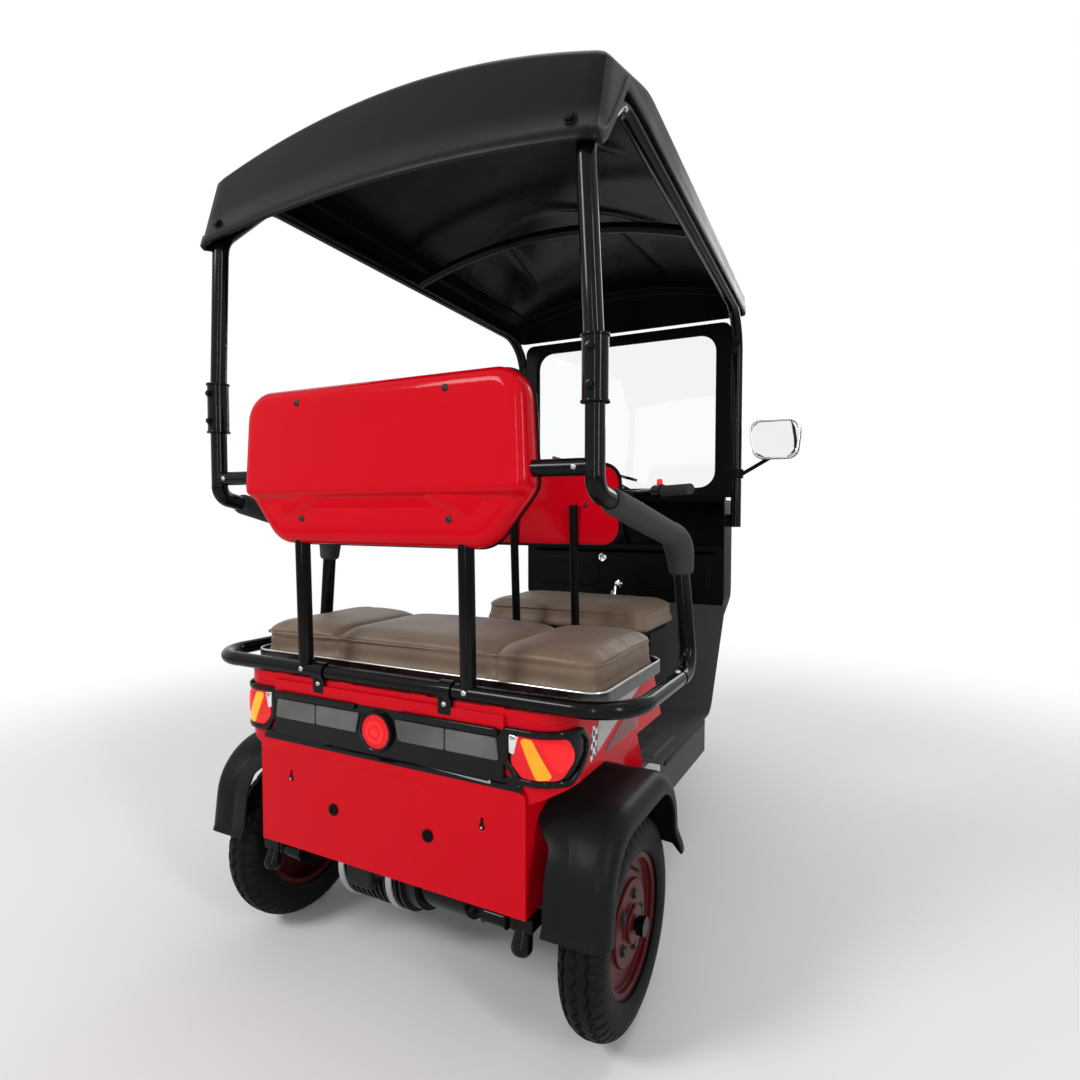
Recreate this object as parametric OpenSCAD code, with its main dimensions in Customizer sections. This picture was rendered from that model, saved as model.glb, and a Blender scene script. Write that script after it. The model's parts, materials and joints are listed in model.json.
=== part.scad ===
// Roofed electric passenger tricycle: one steered wheel in front, a driven rear axle,
// a driver's seat, and a bench for two under a moulded roof.
// Millimetres. X points right, Y forward, Z up. Places along Y are counted from the
// rear axle, and the finished part is shifted so that its box is centred on the origin.

/* [Wheels] */
// Distance between the front and the rear axle
wheelbase = 1400; // [1390:5:1440]
// Distance between the centre planes of the rear wheels
track = 800; // [790:5:820]
// Clearance of the rear body's wheel wells round a tyre
wheel_gap = 40; // [34:1:44]
// Outer diameter of a tyre
tyre_d = 382; // [372:2:390]
// Width of a tyre
tyre_w = 84; // [78:1:88]
// Diameter of the rim under the tyre
bead_d = 232; // [226:1:238]
// Diameter of the rim's edge
rim_edge_d = 248; // [244:1:254]
// Width of the rim over its edges
rim_w = 62; // [58:1:66]
// Diameter of the axle stubs
axle_d = 20; // [16:1:24]

/* [Steering] */
// Rake of the steering axis from the vertical, in degrees
rake = 25; // [24:0.5:26]
// Distance of the front axle ahead of the steering axis, square to it
fork_offset = 33; // [28:1:38]
// Distance between the centre lines of the fork legs
fork_spread = 150; // [144:1:160]
// Diameter of a fork leg
fork_leg_d = 34; // [30:1:36]
// Height of the fork crown's underside above the axle, along the steering axis
crown_h = 425; // [415:1:430]
// Diameter of the steering stem
stem_d = 34; // [30:1:36]
// Outer diameter of the head tube
head_d = 56; // [52:1:60]
// Length of the head tube
head_len = 270; // [260:1:280]
// Diameter of the handlebar
bar_d = 22; // [20:1:24]
// Diameter of a grip
grip_d = 32; // [30:1:36]
// Length of a grip
grip_len = 125; // [115:1:130]
// Distance of a grip's outer end from the middle
bar_half = 310; // [300:1:320]
// Distance of the grips' ends behind the handlebar's clamp
bar_sweep = 195; // [190:1:205]

/* [Chassis] */
// Height of the floor's walking surface
floor_z = 345; // [340:1:350]
// Half the width of the floor
floor_half = 360; // [352:1:366]
// Depth of the floor's side skirts
skirt_h = 95; // [80:1:105]
// Distance between the chassis rails' centre lines
rail_spread = 560; // [550:2:570]
// Width of a chassis rail
beam_w = 30; // [26:1:34]
// Height of a chassis rail
beam_h = 40; // [36:1:44]
// Thickness of the pressed and moulded panels
wall = 4; // [3:0.5:5]

/* [Rear body] */
// Half the width of the body between the wheels
body_low_half = 312; // [300:1:318]
// Half the width of the body above the mudguards
body_top_half = 380; // [370:1:388]
// Rear face of the body behind the axle
body_back = 188; // [184:1:196]
// Front end of the body at the floor
body_front = 385; // [375:1:395]
// Underside of the body
body_low_z = 262; // [258:1:270]
// Top of the body, under its deck
body_top_z = 590; // [586:1:600]
// Thickness of the deck
deck_h = 20; // [16:1:24]
// Height of the lamp panel
lamp_panel_h = 95; // [90:1:98]
// Half the width of the lamp panel
lamp_panel_half = 270; // [262:1:274]
// Diameter of the round central lamp
centre_lamp_d = 76; // [70:1:80]

/* [Seats] */
// Half the width of the bench cushion
bench_half = 415; // [405:1:420]
// Depth of the bench cushion from back to front
bench_depth = 327; // [315:1:335]
// Height of the bench cushion
bench_h = 84; // [76:1:90]
// Half the width of the rear backrest at its widest
backrest_half = 329; // [320:1:335]
// Height of the rear backrest
backrest_h = 298; // [290:1:310]
// Height of the rear backrest's lower edge
backrest_z = 877; // [870:1:885]
// Half the width of the driver's cushion
driver_half = 264; // [250:1:270]
// Depth of the driver's cushion
driver_depth = 300; // [290:1:305]
// Height of the driver's cushion
driver_h = 70; // [62:1:76]
// Height of the driver's seat base above the floor
driver_base_h = 267; // [258:1:275]

/* [Tubes and roof] */
// Diameter of the frame tubes
tube_d = 32; // [30:1:34]
// Diameter of the rail round the deck
rail_d = 29; // [26:1:30]
// Distance between the side rails' centre lines
rail_side_w = 970; // [960:2:980]
// Height of the rail round the deck
rail_z = 626; // [625:1:632]
// Height of the armrest's front corner
armrest_z = 885; // [870:1:900]
// Height of the roof's highest point
roof_z = 1769; // [1755:1:1785]
// Half the width of the roof at its rear
roof_back_half = 445; // [438:1:450]
// Half the width of the roof at its front
roof_front_half = 405; // [400:1:412]
// Rise of the roof's arch over its width
roof_arch = 78; // [70:1:86]
// Fall of the roof towards the front, in degrees
roof_fall = 5.2; // [4.5:0.1:6]
// Height of the rear skirt's lower corners
skirt_z = 1481; // [1475:1:1490]
// Middle plane of the windscreen
screen_y = 1053; // [1050:1:1058]
// Half the width of the windscreen's clear opening
screen_half = 325; // [315:1:330]
// Lower edge of the windscreen's clear opening
screen_low_z = 1010; // [1005:1:1020]
// Height of the windscreen's clear opening
screen_h = 500; // [490:1:505]

/* [Front] */
// Half the width of the front fairing
fairing_half = 355; // [348:1:358]
// Top of the front fairing
fairing_top_z = 975; // [960:1:980]
// Front face of the fairing
fairing_front = 1190; // [1185:1:1195]
// Rear edge of the fairing, at the inner panel
fairing_back = 1030; // [1026:1:1034]
// Diameter of the headlamp
headlamp_d = 150; // [140:1:160]
// Width of a mirror
mirror_w = 160; // [150:1:168]
// Height of a mirror
mirror_h = 120; // [110:1:130]

/* [Hidden] */
$fn = 48;
fine_fn = 180;
arc_steps = 5;

// Fits
overrun = 10;
seat_gap = 0.3;
run_gap = 0.05;
move_gap = 5;

// Colours
red_paint = "firebrick";
black_paint = "black";
black_plastic = "dimgray";
vinyl = "rosybrown";
steel = "silver";
maroon_paint = "maroon";
clear = "lightblue";

// Heights and places that follow from the driving sizes
axle_z = tyre_d / 2;
beam_top_z = floor_z - wall;
deck_top_z = body_top_z + deck_h;
front_tip = wheelbase + tyre_d / 2;
roof_back = 216;
origin_y = (roof_back - front_tip) / 2;

// Steering: the axis passes behind the axle, and heights along it are counted from the axle
steer_foot = [0, wheelbase - fork_offset * cos(rake), axle_z - fork_offset * sin(rake)];
crown_t = 40;
head_low = crown_h + crown_t + move_gap;
clamp_h = 906;
clamp_d = 44;
clamp_w = 60;
bar_y = steer_foot.y - clamp_h * sin(rake);
bar_z = steer_foot.z + clamp_h * cos(rake);

// Unit vector along v
function unit(v) = v / norm(v);

// Points of the arc that rounds corner p between its neighbours a and b
function corner_arc(a, p, b, r) =
    let (u = unit(a - p), v = unit(b - p), half = acos(u * v) / 2)
    let (centre = p + unit(u + v) * r / sin(half), start = p + u * r / tan(half) - centre)
    let (from = atan2(start.y, start.x), sweep = (cross(u, v) > 0 ? -1 : 1) * (180 - 2 * half))
    [for (k = [0 : arc_steps]) let (at = from + sweep * k / arc_steps) centre + r * [cos(at), sin(at)]];

// Closed outline through pts whose corner i is rounded by radii[i], or sharp where that is zero
function rounded(pts, radii) =
    let (n = len(pts))
    [for (i = [0 : n - 1])
        each radii[i] > 0 ? corner_arc(pts[(i + n - 1) % n], pts[i], pts[(i + 1) % n], radii[i]) : [pts[i]]];

// Right half of an outline, from bottom to top, completed with its mirror image
function two_sided(half) = concat(half, [for (i = [len(half) - 1 : -1 : 0]) [-half[i].x, half[i].y]]);
function twice(list) = concat(list, [for (i = [len(list) - 1 : -1 : 0]) list[i]]);

// Outline in Y and Z swept along X
module along_x(x0, x1) {
    translate([x0, 0, 0]) rotate([90, 0, 90]) linear_extrude(x1 - x0) children();
}

// Outline in X and Z swept along Y
module along_y(y0, y1) {
    translate([0, y1, 0]) rotate([90, 0, 0]) linear_extrude(y1 - y0) children();
}

// Outline in X and Y swept along Z
module along_z(z0, z1) {
    translate([0, 0, z0]) linear_extrude(z1 - z0) children();
}

// Box between two corners
module block(low, high) {
    translate(low) cube(high - low);
}

// Right-hand piece and its mirror image
module both_sides() {
    children();
    mirror([1, 0, 0]) children();
}

// Pieces placed from the rear axle, shifted into the part's own frame
module from_axle() {
    translate([0, origin_y, 0]) children();
}

// Pieces placed on the steering axis: Z runs up the axis and Y is square to it, forward
module on_steering() {
    translate(steer_foot) rotate([rake, 0, 0]) children();
}

// Round bar along X between x0 and x1
module bar_x(x0, x1, d) {
    translate([x0, 0, 0]) rotate([0, 90, 0]) cylinder(h = x1 - x0, d = d);
}

// Pieces drawn in a frame of three unit vectors with its origin at a point
module framed(x, y, z, at) {
    multmatrix([[x.x, y.x, z.x, at.x], [x.y, y.y, z.y, at.y], [x.z, y.z, z.z, at.z], [0, 0, 0, 1]])
        children();
}

// Straight rod of diameter d from a to b
module rod(a, b, d) {
    axis = unit(b - a);
    side = unit(cross(axis, axis.x * axis.x < axis.y * axis.y + axis.z * axis.z ? [1, 0, 0] : [0, 1, 0]));
    framed(side, cross(axis, side), axis, a) cylinder(h = norm(b - a), d = d);
}

// Elbow of centre-line radius r that joins the lines a-p and p-b
module elbow(a, p, b, r, d) {
    u = unit(p - a);
    v = unit(b - p);
    angle = acos(u * v);
    inward = unit(v - u * (u * v));
    framed(-inward, u, cross(-inward, u), p - u * r * tan(angle / 2) + inward * r)
        rotate_extrude(angle = angle) translate([r, 0]) circle(d = d);
}

// Bent tube along pts, corner i bent to the radius bends[i]; elbows are swollen a little by the
// bending and the straights lap into them
elbow_swell = 0.6;
elbow_lap = 2;
module bent_tube(pts, bends, d) {
    n = len(pts);
    turns = [for (i = [1 : n - 2]) acos(unit(pts[i] - pts[i - 1]) * unit(pts[i + 1] - pts[i]))];
    cuts = [for (i = [0 : n - 1]) i == 0 || i == n - 1 ? 0 : bends[i] * tan(turns[i - 1] / 2) - elbow_lap];
    for (i = [0 : n - 2]) {
        dir = unit(pts[i + 1] - pts[i]);
        rod(pts[i] + dir * cuts[i], pts[i + 1] - dir * cuts[i + 1], d);
    }
    for (i = [1 : n - 2]) {
        elbow(pts[i - 1], pts[i], pts[i + 1], bends[i], d + elbow_swell);
    }
}

// Chassis: two rails, cross members, a tray for the batteries and a raked head tube
beam_back = body_back - 2 * wall;
beam_front = 985;
cross_beams = 5;
down_tube_d = 48;
down_tube_top = 60;
bracket_d = 34;
spring_w = 44;
spring_in = rail_spread / 2 - beam_w / 2 - seat_gap - spring_w;
spring_eye_y = 165;
spring_eye_z = 236;
module chassis_frame() {
    tray_half = body_low_half - wall;
    tray_front = 240;
    first_y = -beam_back + beam_w / 2;
    last_y = beam_front - beam_w / 2;
    down_foot = [0, last_y, beam_top_z - beam_h / 2];
    down_head = steer_foot + [0, -sin(rake), cos(rake)] * (head_low + down_tube_top);
    color(black_paint) from_axle() difference() {
        union() {
            both_sides() translate([rail_spread / 2 - beam_w / 2, -beam_back, beam_top_z - beam_h])
                cube([beam_w, beam_back + beam_front, beam_h]);
            for (i = [0 : cross_beams - 1]) {
                y = first_y + (last_y - first_y) * i / (cross_beams - 1);
                block([-rail_spread / 2, y - beam_w / 2, beam_top_z - beam_h],
                    [rail_spread / 2, y + beam_w / 2, beam_top_z]);
            }
            block([-tray_half, -beam_back, beam_top_z], [tray_half, tray_front, beam_top_z + wall]);
            rod(down_foot, down_head, down_tube_d);
            on_steering() translate([0, 0, head_low]) cylinder(h = head_len, d = head_d);
            for (y = [-spring_eye_y, spring_eye_y]) {
                both_sides() translate([rail_spread / 2 - beam_w / 2, y - bracket_d / 2, spring_eye_z])
                    cube([wall, bracket_d, beam_top_z - beam_h - spring_eye_z + overrun]);
            }
        }
        on_steering() translate([0, 0, head_low - overrun])
            cylinder(h = head_len + 2 * overrun, d = stem_d + 2 * run_gap);
    }
}

// Floor: a flat plate with side skirts that turns up into the toe board, with a raised tread panel
// in front of the bench
mat_t = 3;
mat_edge = 30;
toe_y = 850;
toe_top_z = 640;
module floor_pan() {
    floor_back = body_front;
    bend_r = 60;
    slope = unit([fairing_back - toe_y, toe_top_z - floor_z]);
    under = [slope.y, -slope.x] * wall;
    color(black_plastic) from_axle() {
        along_x(-floor_half, floor_half) polygon(rounded([
            [floor_back, floor_z - wall], [toe_y + wall / 2, floor_z - wall],
            [fairing_back, toe_top_z] + under, [fairing_back, toe_top_z],
            [toe_y, floor_z], [floor_back, floor_z]
        ], [0, bend_r + wall, 0, 0, bend_r, 0]));
        both_sides() block([floor_half - wall, floor_back, floor_z - skirt_h],
            [floor_half, toe_y - bend_r, floor_z - wall / 2]);
        block([mat_edge - floor_half, floor_back + mat_edge, floor_z - wall / 2],
            [floor_half - mat_edge, driver_back + mat_edge, floor_z + mat_t]);
    }
}

// Outlines of the rear body at a distance t inside its outer skin
body_corner_r = 62;
waist_z = 455;
flare_z = 486;
lamp_step = 7;
lamp_low_z = 481;
function body_section(t) = two_sided([
    [body_low_half - t, body_low_z], [body_low_half - t, waist_z],
    [body_top_half - t, flare_z], [body_top_half - t, body_top_z]
]);
function body_side(t) = [
    [-body_back + t, body_low_z], [body_front - t, body_low_z], [body_front - t, floor_z],
    [body_front - t - (body_top_z - floor_z) / 2, body_top_z], [-body_back + lamp_step + t, body_top_z],
    [-body_back + lamp_step + t, lamp_low_z + lamp_step / 2], [-body_back + t, lamp_low_z - lamp_step / 2]
];
function body_plan(t) = two_sided([
    [body_top_half - t, -body_back + lamp_step + t], [body_top_half - t, body_front + overrun]
]);
module body_core(t) {
    intersection() {
        along_y(-body_back - overrun, body_front + overrun) polygon(body_section(t));
        along_x(-body_top_half - overrun, body_top_half + overrun) polygon(body_side(t));
    }
}

// Plan of the body above the waist, with its rounded rear corners
module top_plan(t) {
    polygon(rounded(body_plan(t), twice([body_corner_r - t, 0])));
}

// Red rear body: an open shell with the holes of its lower rear panel, kept clear of the wheels
panel_hole_d = 14;
panel_hole_x = 113;
panel_hole_z = 362;
keyhole_x = 227;
keyhole_z = 403;
keyhole_d = 12;
keyhole_slot = 16;
module rear_body() {
    color(red_paint) from_axle() difference() {
        intersection() {
            body_core(0);
            union() {
                along_z(waist_z, body_top_z) top_plan(0);
                block([-body_low_half, -body_back, body_low_z], [body_low_half, body_front, waist_z]);
            }
        }
        intersection() {
            body_core(wall);
            union() {
                along_z(waist_z, body_top_z) top_plan(wall);
                block([-body_low_half, -body_back, body_low_z], [body_low_half, body_front, waist_z]);
            }
        }
        both_sides() block(
            [rail_spread / 2 - beam_w / 2 - seat_gap, body_front - overrun, beam_top_z - beam_h - seat_gap],
            [rail_spread / 2 + beam_w / 2 + seat_gap, body_front + overrun, floor_z + seat_gap]);
        both_sides() translate([0, 0, axle_z])
            bar_x(track / 2 - tyre_w / 2 - wheel_gap, track / 2 + tyre_w, tyre_d + 2 * wheel_gap);
        both_sides() translate([panel_hole_x, -body_back - overrun, panel_hole_z]) rotate([-90, 0, 0])
            cylinder(h = 2 * overrun, d = panel_hole_d);
        both_sides() translate([keyhole_x, -body_back - overrun, keyhole_z]) rotate([-90, 0, 0])
            cylinder(h = 2 * overrun, d = keyhole_d);
        both_sides() block([keyhole_x - keyhole_d / 4, -body_back - overrun, keyhole_z],
            [keyhole_x + keyhole_d / 4, -body_back + overrun, keyhole_z + keyhole_slot]);
    }
}

// Deck that closes the body, with a lip over the lamp panel and saddles under the rail
deck_front = 255;
lip_h = 13;
saddle_w = 34;
saddle_shares = [-0.93, -0.33, 0.33, 0.93];
rail_back_y = -176;
module rear_deck() {
    lip_y = -body_back + lamp_step;
    color(red_paint) from_axle() difference() {
        union() {
            intersection() {
                along_z(body_top_z, deck_top_z) top_plan(0);
                block([-body_top_half, -body_back, body_top_z], [body_top_half, deck_front, deck_top_z]);
            }
            block([-lamp_panel_half, lip_y - lamp_step, body_top_z - lip_h],
                [lamp_panel_half, lip_y, deck_top_z - deck_h / 2]);
            for (share = saddle_shares) {
                x = lamp_panel_half * share;
                block([x - saddle_w / 2, lip_y, deck_top_z - overrun],
                    [x + saddle_w / 2, rail_back_y + rail_d / 2, rail_z - rail_d / 4]);
            }
        }
        translate([0, rail_back_y, rail_z]) bar_x(-body_top_half, body_top_half, rail_d + 2 * seat_gap);
    }
}

// Gloss panel across the rear between the tail lamps
lamp_face_y = -body_back + lamp_step;
lamp_panel_t = 8;
module lamp_panel() {
    top = body_top_z - lip_h;
    low = top - lamp_panel_h + lamp_step;
    color(black_paint) from_axle() along_y(lamp_face_y - lamp_panel_t, lamp_face_y)
        polygon(rounded(two_sided([[lamp_panel_half, low], [lamp_panel_half, top]]),
            twice([lamp_panel_t, 0])));
}

// Tail lamps wrapped round the body's upper rear corners
tail_lamp_in = 280;
tail_lamp_h = 92;
tail_lamp_t = 9;
tail_lamp_front = -90;
module tail_lamps() {
    low = flare_z + lamp_step / 2;
    color("crimson") from_axle() both_sides() intersection() {
        along_z(low, low + tail_lamp_h) difference() {
            polygon(rounded(body_plan(-tail_lamp_t), twice([body_corner_r + tail_lamp_t, 0])));
            polygon(rounded(body_plan(-seat_gap), twice([body_corner_r + seat_gap, 0])));
        }
        block([tail_lamp_in, -body_back - overrun, low],
            [body_top_half + overrun, tail_lamp_front, low + tail_lamp_h]);
    }
}

// Round lamp in the middle of the panel: a rim with a domed lens
centre_lamp_z = 534;
lens_share = 0.84;
module centre_lamp() {
    dome = 12;
    rim_t = 8;
    lens_r = centre_lamp_d * lens_share / 2;
    ball_r = (lens_r * lens_r + dome * dome) / (2 * dome);
    seat_y = lamp_face_y - lamp_panel_t;
    color("crimson") from_axle() translate([0, seat_y, centre_lamp_z]) rotate([90, 0, 0]) {
        cylinder(h = rim_t, d = centre_lamp_d);
        intersection() {
            translate([0, 0, rim_t + dome - ball_r]) sphere(r = ball_r, $fn = fine_fn);
            cylinder(h = rim_t + dome, r = lens_r);
        }
    }
}

// Pale reflector strips, two on each side of the round lamp
strip_w = 88;
strip_h = 30;
strip_t = 5;
strip_shares = [0.39, 0.76];
module reflector_strips() {
    color("gainsboro") from_axle() both_sides() for (share = strip_shares) {
        x = lamp_panel_half * share;
        along_y(lamp_face_y - lamp_panel_t - strip_t, lamp_face_y - lamp_panel_t)
            translate([x, centre_lamp_z]) polygon(rounded(two_sided([
                [strip_w / 2, -strip_h / 2], [strip_w / 2, strip_h / 2]
            ]), twice([strip_t, strip_t])));
    }
}

// Rail round the deck, open to the front
rail_end_y = 100;
rail_bend = 90;
module rear_rail() {
    side = rail_side_w / 2;
    color(black_paint) from_axle() bent_tube([
        [-side, rail_end_y, rail_z], [-side, rail_back_y, rail_z],
        [side, rail_back_y, rail_z], [side, rail_end_y, rail_z]
    ], [0, rail_bend, rail_bend, 0], rail_d);
}

// Armrest tubes: each rises from the rail's end, runs back and turns up into a roof post
armrest_y = 163;
armrest_x = 462;
post_x = 432;
post_y = -184;
post_foot_z = 970;
post_joint_z = 1156;
armrest_bend = 48;
post_bend = 30;
armrest_bends = [0, armrest_bend, armrest_bend, post_bend, 0];
function armrest_route() = [
    [rail_side_w / 2, rail_end_y, rail_z], [rail_side_w / 2, armrest_y, rail_z],
    [armrest_x, armrest_y, armrest_z], [post_x, post_y, post_foot_z], [post_x, post_y, post_joint_z]
];
module armrest_frames() {
    color(black_paint) from_axle() both_sides() bent_tube(armrest_route(), armrest_bends, tube_d);
}

// Foam sleeves on the armrests, drawn down over the front corner
pad_d = 48;
pad_back_share = 0.85;
pad_front_share = 0.22;
module armrest_pads() {
    route = armrest_route();
    back = route[2] + (route[3] - route[2]) * pad_back_share;
    front = route[2] + (route[1] - route[2]) * pad_front_share;
    color(black_plastic) from_axle() both_sides() difference() {
        bent_tube([back, route[2], front], [0, armrest_bends[2], 0], pad_d);
        bent_tube(armrest_route(), armrest_bends, tube_d + 2 * seat_gap);
    }
}

// Backrest frame: a cross tube between the posts on two uprights that stand on the rail
upright_x = 193;
cross_tube_d = 28;
cross_tube_z = 1008;
module backrest_frame() {
    color(black_paint) from_axle() difference() {
        union() {
            both_sides() rod([upright_x, rail_back_y, rail_z], [upright_x, post_y, cross_tube_z], rail_d);
            translate([0, post_y, cross_tube_z]) bar_x(-post_x, post_x, cross_tube_d);
        }
        translate([0, rail_back_y, rail_z]) bar_x(-rail_side_w / 2, rail_side_w / 2, rail_d + 2 * seat_gap);
        both_sides() rod([post_x, post_y, post_foot_z], [post_x, post_y, post_joint_z],
            tube_d + 2 * seat_gap);
    }
}

// Rear backrest: a red dished shell with a ledge across its back
shell_t = 52;
ledge_h = 100;
ledge_step = 14;
backrest_back = -216;
backrest_top_half = 317;
backrest_low_half = 247;
function backrest_outline(t) = two_sided([
    [backrest_low_half - t, backrest_z + t], [backrest_half - t, backrest_z + ledge_h],
    [backrest_top_half - t, backrest_z + backrest_h - t]
]);
function backrest_side(t) = [
    [backrest_back + ledge_step + t, backrest_z - overrun],
    [backrest_back + shell_t + t, backrest_z - overrun],
    [backrest_back + shell_t + t, backrest_z + backrest_h + overrun],
    [backrest_back + ledge_step / 2 + t, backrest_z + backrest_h + overrun],
    [backrest_back + t, backrest_z + ledge_h],
    [backrest_back + ledge_step + t, backrest_z + ledge_h - ledge_step]
];
backrest_low_r = 70;
backrest_side_r = 40;
backrest_top_r = 60;
backrest_radii = [backrest_low_r, backrest_side_r, backrest_top_r];
module backrest_shell() {
    color(red_paint) from_axle() difference() {
        intersection() {
            along_y(backrest_back, backrest_back + shell_t)
                polygon(rounded(backrest_outline(0), twice(backrest_radii)));
            along_x(-backrest_half, backrest_half) polygon(backrest_side(0));
        }
        intersection() {
            along_y(backrest_back, backrest_back + shell_t + overrun)
                polygon(rounded(backrest_outline(wall), twice(backrest_radii)));
            along_x(-backrest_half, backrest_half) polygon(backrest_side(wall));
        }
        both_sides() rod([upright_x, rail_back_y, rail_z], [upright_x, post_y, cross_tube_z],
            rail_d + 2 * seat_gap);
        translate([0, post_y, cross_tube_z]) bar_x(-post_x, post_x, cross_tube_d + 2 * seat_gap);
    }
}

// Rear backrest cushion on the shell's front edge
backrest_pad_t = 52;
module backrest_cushion() {
    front = backrest_back + shell_t;
    color(vinyl) from_axle() along_y(front, front + backrest_pad_t)
        polygon(rounded(backrest_outline(wall / 2), twice(backrest_radii)));
}

// Bright tray under the bench cushion
bench_back = -115;
tray_h = 26;
tray_t = 3;
tray_r = 36;
function bench_plan(t) = [
    [bench_half + t, bench_back - t], [bench_half + t, bench_back + bench_depth + t],
    [-bench_half - t, bench_back + bench_depth + t], [-bench_half - t, bench_back - t]
];
module bench_tray() {
    color(steel) from_axle() difference() {
        along_z(deck_top_z, deck_top_z + tray_h)
            polygon(rounded(bench_plan(tray_t + seat_gap), [tray_r, tray_r, tray_r, tray_r]));
        along_z(deck_top_z + tray_t, deck_top_z + tray_h + overrun)
            polygon(rounded(bench_plan(seat_gap), [tray_r, tray_r, tray_r, tray_r]));
    }
}

// Bench cushion with sewn channels between its three places
channel_x = 193;
channel_w = 10;
module bench_cushion() {
    low = deck_top_z + tray_t;
    color(vinyl) from_axle() difference() {
        along_z(low, low + bench_h) polygon(rounded(bench_plan(0), [tray_r, tray_r, tray_r, tray_r]));
        both_sides() translate([channel_x, bench_back - overrun, low + bench_h]) rotate([-90, 0, 0])
            cylinder(h = bench_depth + 2 * overrun, d = channel_w);
    }
}

// Driver's seat: a moulded base on the floor with the posts of the backrest
driver_back = 558;
base_half = 180;
base_top_h = 18;
base_foot_in = 46;
driver_post_x = 90;
driver_post_d = 22;
driver_shell_y = 450;
driver_shell_z = 849;
driver_shell_h = 213;
driver_shell_half = 218;
driver_shell_t = 34;
driver_post_top_z = driver_shell_z + driver_shell_h / 2;
driver_post_foot_z = floor_z + driver_base_h - driver_post_d / 2 - elbow_swell;
driver_post_y = driver_shell_y + driver_shell_t / 2;
function driver_post_route() = [
    [driver_post_x, driver_back + base_half / 2, driver_post_foot_z],
    [driver_post_x, driver_post_y + base_top_h, driver_post_foot_z],
    [driver_post_x, driver_post_y, driver_post_top_z]
];
module driver_seat_frame() {
    top = floor_z + driver_base_h;
    front = driver_back + driver_depth;
    lean = base_top_h * 2;
    color(black_plastic) from_axle() {
        difference() {
            along_x(-base_half, base_half) polygon(rounded([
                [driver_back + lean * 2, floor_z], [front - base_foot_in, floor_z], [front - lean / 2, top],
                [driver_back + lean / 2, top]
            ], [0, 0, base_top_h, base_top_h]));
            along_x(-base_half + wall, base_half - wall) polygon([
                [driver_back + lean * 2 + wall, floor_z - overrun],
                [front - base_foot_in - wall, floor_z - overrun],
                [front - lean / 2 - wall, top - base_top_h], [driver_back + lean / 2 + wall, top - base_top_h]
            ]);
        }
        along_z(top - base_top_h, top) polygon(rounded(two_sided([
            [driver_half - lean, driver_back], [driver_half - lean, front]]), twice([lean, lean])));
        both_sides() bent_tube(driver_post_route(), [0, lean, 0], driver_post_d);
    }
}

// Driver's cushion
module driver_cushion() {
    low = floor_z + driver_base_h;
    corner = 50;
    color(vinyl) from_axle() along_z(low, low + driver_h) polygon(rounded(two_sided([
        [driver_half, driver_back], [driver_half, driver_back + driver_depth]]), twice([corner, corner])));
}

// Driver's backrest: a red dished shell on its two posts
driver_shell_r = 50;
function driver_outline(t) = two_sided([
    [driver_shell_half - t, driver_shell_z + t], [driver_shell_half - t, driver_shell_z + driver_shell_h - t]
]);
module driver_backrest_shell() {
    color(red_paint) from_axle() difference() {
        along_y(driver_shell_y, driver_shell_y + driver_shell_t)
            polygon(rounded(driver_outline(0), twice([driver_shell_r, driver_shell_r])));
        along_y(driver_shell_y + wall, driver_shell_y + driver_shell_t + overrun)
            polygon(rounded(driver_outline(wall), twice([driver_shell_r, driver_shell_r])));
        both_sides() bent_tube(driver_post_route(), [0, base_top_h * 2, 0], driver_post_d + 2 * seat_gap);
    }
}

// Driver's backrest cushion on the shell's front edge
driver_pad_t = 42;
module driver_backrest_cushion() {
    front = driver_shell_y + driver_shell_t;
    color(vinyl) from_axle() along_y(front, front + driver_pad_t)
        polygon(rounded(driver_outline(wall / 2), twice([driver_shell_r, driver_shell_r])));
}

// Half the width of the roof at a place along Y
roof_front = screen_y + tube_d / 2 + wall + seat_gap;
function roof_half(y) = roof_back_half
    + (roof_front_half - roof_back_half) * (y + roof_back) / (roof_front + roof_back);

// Roof frame: rear posts, side tubes under the roof's edges and the front pillars, with one bow
edge_z = 1620;
edge_fall_share = 0.062;
pillar_foot_z = 890;
sleeve_d = 42;
sleeve_h = 100;
knee_z = 1500;
knee_run = 130;
knee_in = 9;
knee_bend = 60;
pillar_bend = 130;
roof_bends = [0, knee_bend, knee_bend, pillar_bend, 0];
tab_h = 40;
bow_y = 455;
bow_d = 26;
bow_rise = 66;
function rail_x(y) = roof_half(y) - wall - tube_d / 2 - seat_gap - elbow_swell;
function roof_edge_z(y) = edge_z - edge_fall_share * y;
pillar_x = rail_x(screen_y);
function roof_route() = [
    [post_x, post_y, post_joint_z + seat_gap], [rail_x(post_y) - knee_in, post_y, knee_z],
    [rail_x(post_y + knee_run), post_y + knee_run, roof_edge_z(post_y + knee_run)],
    [pillar_x, screen_y, roof_edge_z(screen_y)], [pillar_x, screen_y, pillar_foot_z]
];
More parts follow.
